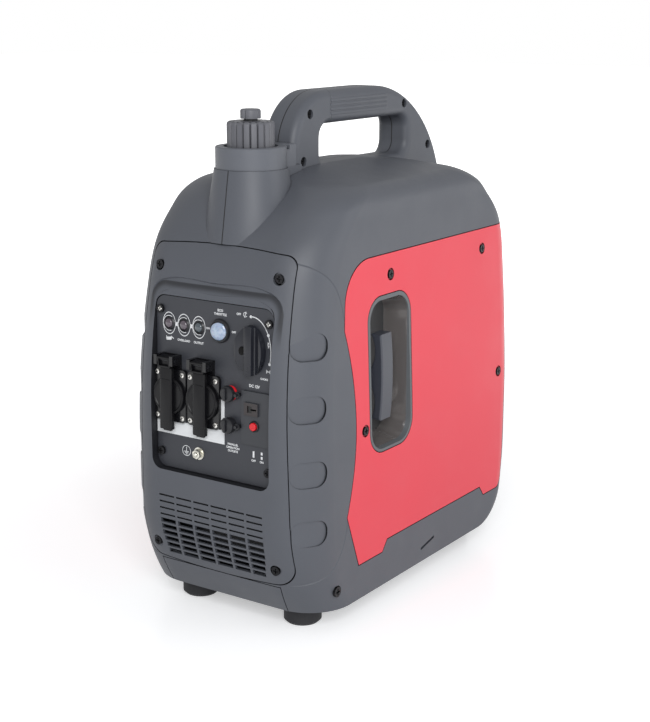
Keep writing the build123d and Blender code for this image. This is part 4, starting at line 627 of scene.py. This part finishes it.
knob_width, knob_height, knob_sides = 16.6, 25.0, 48
bar_reach = 0.027
knob = bmesh.new()
half_section = [
    (0, 8.8), (3.7, 8.8), (4.4, 8.5), (5.1, 4.4), (6.0, 3.6), (7.4, 3.8),
    (10.0, 5.2), (12.8, 7.3), (14.6, 8.3), (20, 8.3), (20, 0.4),
]
section = [(-x, height) for x, height in half_section[:0:-1]] + half_section
outline = [knob.verts.new((x / 1000, -bar_reach, height / 1000)) for x, height in section]
skin = knob.faces.new(outline)
pushed = bmesh.ops.extrude_face_region(knob, geom=[skin])
ends = only(pushed["geom"], bmesh.types.BMVert)
bmesh.ops.translate(knob, vec=(0, 2 * bar_reach, 0), verts=ends)
for step in range(knob_sides):
    turn = step * 2 * pi / knob_sides
    edge = Vector((knob_width * cos(turn), knob_height * sin(turn), 0)) / 1000
    out = Vector((cos(turn) / knob_width, sin(turn) / knob_height, 0)).normalized()
    everything = knob.verts[:] + knob.edges[:] + knob.faces[:]
    cut = bmesh.ops.bisect_plane(
        knob, geom=everything, plane_co=edge, plane_no=out, clear_outer=True
    )
    bmesh.ops.edgenet_fill(knob, edges=only(cut["geom_cut"], bmesh.types.BMEdge))
sharp_edges = [side for side in knob.edges if side.calc_face_angle(0) > radians(38)]
rim = [side for side in sharp_edges if max(point.co.z for point in side.verts) > 0.004]
soften(knob, rim, 0.0007, 2, clamp=True)
on_panel(knob, knob_x, knob_z)
knob_black = moulding(
    "knob_black", srgb(31, 33, 40), 0.3, grain=2000, depth=0.000008, drift=0.06, shine=0.35
)
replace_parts(piece("switch_knob", knob, knob_black, "engine_switch", 40), "engine_switch_knob")
# Painted shade: a near-black finish for the shade in holes and gaps, here the knob's dot.
hole = mottled("painted_hole_shade", (0.004, 0.004, 0.004), (0.01, 0.01, 0.01), (900, 500), 0.2, 0.5)
hole.set(Specular_IOR_Level=0.1)
dot = lathe([(0, 0.3), (2.6, 0.3), (3.0, 0.6), (3.3, 0.2)], 24)
scoop_slope = 31
dot_place = shift(-0.0092, -0.0008, 0.0054) @ turned(scoop_slope, "Y")
moved(dot, dot_place @ Matrix.Diagonal((0.9, 1.3, 1, 1)))
piece("switch_dot", on_panel(dot, knob_x, knob_z), hole, "engine_switch")

# ---- Mains sockets --------------------------------------------------------------------------
# Two black flush sockets on a white label plate. Each has a sprung round lid with a broad band
# down the middle, hinged at the top on a boxed block, and four pale flange screws.
dress(gloss, "mains_sockets")
socket_xs = (-54.1, -11.1)
socket_z = 239.0
lid_black = moulding(
    "lid_black", srgb(14, 14, 17), 0.34, grain=2200, depth=0.000012, drift=0.08, shine=0.22
)
lid_profile = [
    (0, 4.4), (19.0, 4.4), (19.7, 4.9), (19.8, 7.0), (19.2, 7.9), (18.2, 8.2),
    (17.4, 7.7), (16.8, 7.1), (0, 7.1),
]
for name, x in zip(("left", "right"), socket_xs):
    disc = lathe(lid_profile, 72)
    strap = moved(tablet(15.6, 65, 4.6, 1.2, 0.9), shift(0, -0.0025, 0.0068))
    field = moved(tablet(12.6, 46, 0.8, 2.0, 0.6), shift(0, -0.005, 0.0112))
    block = tablet(16.4, 11.5, 9.5, 1.2, 0.7)
    face = max(block.faces, key=lambda part: part.calc_center_median().z)
    bmesh.ops.inset_region(block, faces=[face], thickness=0.0013, depth=0.0)
    bmesh.ops.inset_region(block, faces=[face], thickness=0.0004, depth=-0.0030)
    moved(block, shift(0, 0.0370, 0.0052) @ turned(8, "X"))
    lip = moved(tablet(10.5, 3.4, 2.4, 1.2, 0.8), shift(0, -0.0352, 0.0068))
    cover = on_panel(joined([disc, strap, field, block, lip]), x, socket_z)
    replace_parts(piece("lid_cover_" + name, cover, lid_black, "lid_" + name), "socket_lid_" + name)

screw_pale = mottled(
    "pale_screws", (0.62, 0.61, 0.57), (0.82, 0.81, 0.78), (800, 1100), 0.25, 0.18, metal=1.0
)


def cross_head(radius):
    """A domed screw head and a thin cross laid on it, painted shade for its cross recess. Sizes in
    mm.
    """
    rise = [(radius, 0), (radius, 0.5), (radius * 0.86, 1.1), (radius * 0.5, 1.5), (0, 1.6)]
    slot_shades = []
    for turn in (20, 110):
        arm = tablet(radius * 1.15, radius * 0.26, 0.12, 0.1, 0.05, 1)
        slot_shades.append(moved(arm, shift(0, 0, 0.00152) @ turned(turn, "Z")))
    return lathe(rise, 24), joined(slot_shades)


heads, slot_shades = [], []
flange_x, flange_z, flange_out = 16.2, 22.6, 4.0
screw_radius = 2.9
flange_screws = [
    (x + dx, socket_z + dz, flange_out)
    for x in socket_xs for dx in (-flange_x, flange_x) for dz in (-flange_z, flange_z)
]
plate_screws = [(-68.5, 327.0, 1.0), (68.5, 327.0, 1.0)]
for x, z, out in flange_screws + plate_screws:
    head, arm = cross_head(screw_radius)
    heads.append(on_panel(head, x, z, out))
    slot_shades.append(on_panel(arm, x, z, out))
piece("pale_screw_heads", joined(heads), screw_pale, "generator")
# Painted shade: the cross recesses are thin near-black crosses on the heads.
piece("pale_screw_slot_shades", joined(slot_shades), hole, "generator")
card = mottled(
    "label_card", srgb(218, 221, 224), srgb(234, 236, 238), (60, 500), 0.15, 0.3, detail=3
)
dress(card, "socket_backing_plate")
dress(satin, "socket_lid_pins")

# ---- Parallel jacks -------------------------------------------------------------------------
# Two 4 mm jacks under push-on caps, each held by a small tether. The upper one has a red collar.
jack_x, jack_zs = 22.0, {"red": 252.0, "black": 219.5}
tether_reach = 0.0106
cap_profile = [(6.2, 4.4), (8.3, 4.4), (8.4, 7.0), (7.7, 8.6), (6.2, 9.3), (0, 9.6)]
eye_profile = [(1.7, 4.3), (3.3, 4.3), (3.4, 5.2), (3.0, 5.9), (1.7, 5.9)]
signal = moulding("signal_red", srgb(214, 28, 40), 0.3, grain=2000, depth=0.00001, drift=0.05)
for colour, z in jack_zs.items():
    cap = lathe(cap_profile, 40)
    grip = moved(tablet(3.2, 13.0, 3.6, 1.2, 0.9), shift(-0.001, 0, 0.0086))
    strap = moved(tablet(11.5, 3.8, 1.4, 0.6, 0.4), shift(0.0066, 0, 0.0044))
    eye = moved(lathe(eye_profile, 28), shift(tether_reach, 0, 0))
    cover = on_panel(joined([cap, grip, strap, eye]), jack_x, z)
    cover = piece("jack_cover_" + colour, cover, satin, "jack_cap_" + colour)
    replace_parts(cover, "jack_cap_" + colour)
dress(satin, "parallel_jacks")
collar = lathe([(6.2, 0.2), (7.4, 0.2), (7.7, 1.0), (7.7, 3.0), (7.3, 3.6), (6.2, 3.6)], 40)
piece("jack_collar_red", on_panel(collar, jack_x + 0.4, jack_zs["red"]), signal, "generator")

# ---- Direct current outlet ------------------------------------------------------------------
# A thin raised plate with a socket for two crossed blades, its slots painted near-black as shade, a
# near-black strip of painted shadow down its side where a gap is, and the red button of its breaker
# below in a black ring.
outlet = moulding("outlet_plate", srgb(50, 52, 57), 0.45, grain=1600, depth=0.00003, drift=0.05)
across, _, height = outlet.place()
blades_z = 0.2396


def oblong(middle, half_width, half_height):
    """1 inside a rectangle on the outlet, as high as its blades."""
    beside = abs(across - middle) < half_width
    return beside * (abs(height - blades_z) < half_height)


# Painted shade: the two blade slots are painted near-black.
upright_slot_shade = oblong(0.0478, 0.0027, 0.0034)
level_slot_shade = oblong(0.0512, 0.0018, 0.0011)
recess = oblong(0.0493, 0.0084, 0.0065)
tinted(outlet, recess, srgb(50, 45, 46))
tinted(outlet, upright_slot_shade.math("MAXIMUM", level_slot_shade), (0.001, 0.001, 0.001))
dress(outlet, "dc_outlet")
# Painted shadow: a near-black strip stands in for the shaded gap down the plate's side.
gap_shadow_strip = on_panel(tablet(1.7, 54.0, 0.5, 0.6, 0.2), 69.8, 229.6)
piece("dc_gap_shadow", gap_shadow_strip, hole, "generator")
dress(signal, "dc_breaker_button")
breaker_ring = lathe([(4.3, 0), (4.3, 1.2), (4.9, 1.6), (5.6, 1.2), (6.0, 0)], 36)
piece("breaker_ring", on_panel(breaker_ring, 52.5, 222.6, 2.5), satin, "generator")

# ---- Ground terminal ------------------------------------------------------------------------
# A zinc-plated stud with a flat washer, a spring washer, a hexagon nut and a rounded end.
def rod(radius, length, sides):
    """A straight bar along z, centred on it. Sizes in metres."""
    bar = bmesh.new()
    bmesh.ops.create_cone(
        bar, cap_ends=True, segments=sides, radius1=radius, radius2=radius, depth=length
    )
    return bar


zinc = mottled(
    "zinc_plate", (0.46, 0.44, 0.38), (0.78, 0.77, 0.71), (260, 700), 0.25, 0.18, 4, metal=1.0
)
washer = lathe([(2.6, 0.1), (6.5, 0.1), (6.6, 0.7), (6.4, 1.2), (2.6, 1.2)], 40)
spring = lathe([(2.6, 1.2), (4.9, 1.2), (5.0, 2.4), (2.6, 2.4)], 36)
nut = rod(0.0052, 0.0038, 6)
soften(nut, nut.edges[:], 0.00045, 2)
moved(nut, shift(0, 0, 0.0043) @ turned(12, "Z"))
stud = lathe([(2.5, 5.8), (2.5, 7.2), (2.2, 7.8), (1.5, 8.2), (0, 8.3)], 28)
terminal = on_panel(joined([washer, spring, nut, stud]), -19.0, 182.0)
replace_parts(piece("earth_stud", terminal, zinc, "generator"), "ground_terminal")

# ---- Fuel filler ----------------------------------------------------------------------------
# Nylon cap with broad flat ribs and a scalloped vent knob, on a rubber gasket in the collar.
cap_nylon = moulding(
    "cap_nylon", srgb(94, 95, 101), 0.46, grain=1800, depth=0.00002, drift=0.08, crevice_shade=True
)
rubber = moulding("black_rubber", srgb(40, 40, 43), 0.7, grain=1200, depth=0.00004)
# Painted light: the collar is a lighter copy of the housing grey, for the light it catches.
collar_painted_light = moulding("collar_painted_light", srgb(92, 95, 102), 0.46, crevice_shade=True)
dress(collar_painted_light, "filler_collar")
dress(rubber, "cap_gasket", "rubber_feet", "rubber_mounts", "fuel_hose")
cap_place = shift(0, -0.1455, 0)


def ribbed(count, outer, inner, low, high, shoulder, share):
    """An upright drum whose skin has count flat ribs with narrow grooves between. Sizes in mm.

    A rib and its groove take share sides, and the top edge is rounded to shoulder.
    """
    drum = bmesh.new()
    bmesh.ops.create_circle(drum, cap_ends=True, segments=count * share, radius=outer / 1000)
    for order, point in enumerate(drum.verts):
        if order % share == 0:
            point.co *= inner / outer
    bmesh.ops.translate(drum, vec=(0, 0, low / 1000), verts=drum.verts)
    top = bmesh.ops.extrude_face_region(drum, geom=drum.faces[:])
    straight = (high - shoulder - low) / 1000
    bmesh.ops.translate(drum, vec=(0, 0, straight), verts=only(top["geom"], bmesh.types.BMVert))
    lid = only(top["geom"], bmesh.types.BMFace)
    for step in range(1, 5):
        turn = radians(step * 22.5)
        last = radians((step - 1) * 22.5)
        inwards = shoulder * (cos(last) - cos(turn)) / 1000
        upwards = shoulder * (sin(turn) - sin(last)) / 1000
        bmesh.ops.inset_region(drum, faces=lid, thickness=inwards, depth=0.0)
        points = {point for face in lid for point in face.verts}
        bmesh.ops.translate(drum, vec=(0, 0, upwards), verts=list(points))
    return drum


cap_drum = moved(ribbed(20, 24.1, 22.5, 476.2, 514.6, 3.2, 6), cap_place)
cap_knob = moved(ribbed(4, 10.4, 9.0, 0, 9.6, 2.2, 8), shift(0, 0, 0.5169))
cap_stem = lathe([(0, 513), (7.2, 513), (7.0, 516.5), (7.4, 518.0), (0, 518.0)], 32)
vent = moved(joined([cap_knob, cap_stem]), cap_place)
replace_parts(piece("ribbed_cap", cap_drum, cap_nylon, "fuel_cap", 30), "fuel_cap")
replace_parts(piece("vent_cap", vent, cap_nylon, "cap_vent", 30), "cap_vent_knob")

# ---- Starter --------------------------------------------------------------------------------
# A mirror-bright pocket whose walls are painted a light brown-grey reflection, with a dark matt
# floor and a grey rim, in the red cover's window. The braided rope of its T grip stretches from the
# drum to the grip when that is pulled.
# Painted reflection: the walls' light brown-grey base stands in for what they mirror; the floor and
# rim are tinted their own tones.
pocket = moulding(
    "pocket_painted_reflection", srgb(96, 92, 91), 0.14, grain=400, depth=0.000003, drift=0.1, shine=0.5
)
pocket.set(Coat_IOR=2.1, Coat_Roughness=0.08)
outwards, _, _ = pocket.place()
bottom = pocket.step(pocket.facing(0), 0.7, 0.9)
tinted(pocket, bottom, srgb(34, 34, 36))
rim = pocket.step(outwards, 0.1125, 0.1135)
tinted(pocket, rim, srgb(84, 88, 92))
matt = bottom.math("MAXIMUM", rim)
pocket.set(Coat_Weight=1 - matt, Roughness=matt * 0.3 + 0.14)
dress(pocket, "starter_pocket")
dress(gloss, "rope_guide")
grip_black = moulding(
    "grip_black", srgb(60, 63, 72), 0.34, grain=1800, depth=0.00001, drift=0.06, shine=0.45,
    crevice_shade=True,
)
dress(grip_black, "starter_grip")
rope_fibre = Finish("braided_rope")
x, _, z = rope_fibre.place()
braid = (x * 1800 + z * 900).math("SINE") * 0.5 + 0.5
strands = rope_fibre.between(braid, srgb(150, 150, 148), srgb(214, 213, 208))
rope_fibre.set(Base_Color=strands, Roughness=braid * 0.2 + 0.6)
rope_fibre.set(Normal=rope_fibre.bump(braid * 0.0003))
dress(rope_fibre, "rope_coil")
rope_inner, rope_outer = [Vector(corner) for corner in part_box("starter_rope")]
rope_middle = (rope_inner + rope_outer) / 2
rope_radius = (rope_outer.z - rope_inner.z) / 2
rope = rod(rope_radius, rope_outer.x - rope_inner.x, 20)
along = [side for side in rope.edges if span(side, 2) > 0.01]
bmesh.ops.subdivide_edges(rope, edges=along, cuts=90)
moved(rope, shift(*rope_middle) @ turned(90, "Y"))
pull_rope = piece("pull_rope", rope, rope_fibre, None)
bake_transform(pull_rope)
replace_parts(pull_rope, "starter_rope")

# ---- Metal and hidden parts -----------------------------------------------------------------
# The engine and its cast parts inside, the steel outlet at the back, and the black mouldings.
steel = mottled(
    "outlet_steel", (0.30, 0.29, 0.27), (0.5, 0.49, 0.47), (200, 500), 0.3, 0.25, 4, metal=1.0
)
dress(steel, "exhaust_outlet", "muffler", "spark_plug")
dress(steel, "crankshaft", "crankshaft_bearings", "stator")
cast = mottled(
    "cast_aluminium", (0.42, 0.42, 0.42), (0.6, 0.6, 0.6), (200, 500), 0.2, 0.45, metal=0.9
)
dress(cast, "crankcase", "cylinder", "cylinder_head", "carburettor")
dress(satin, "inverter_unit", "fuel_tank", "tank_cradle", "air_cleaner_box")
dress(satin, "recoil_housing", "recoil_reel", "fan_shroud", "cooling_fan", "magnet_rotor")
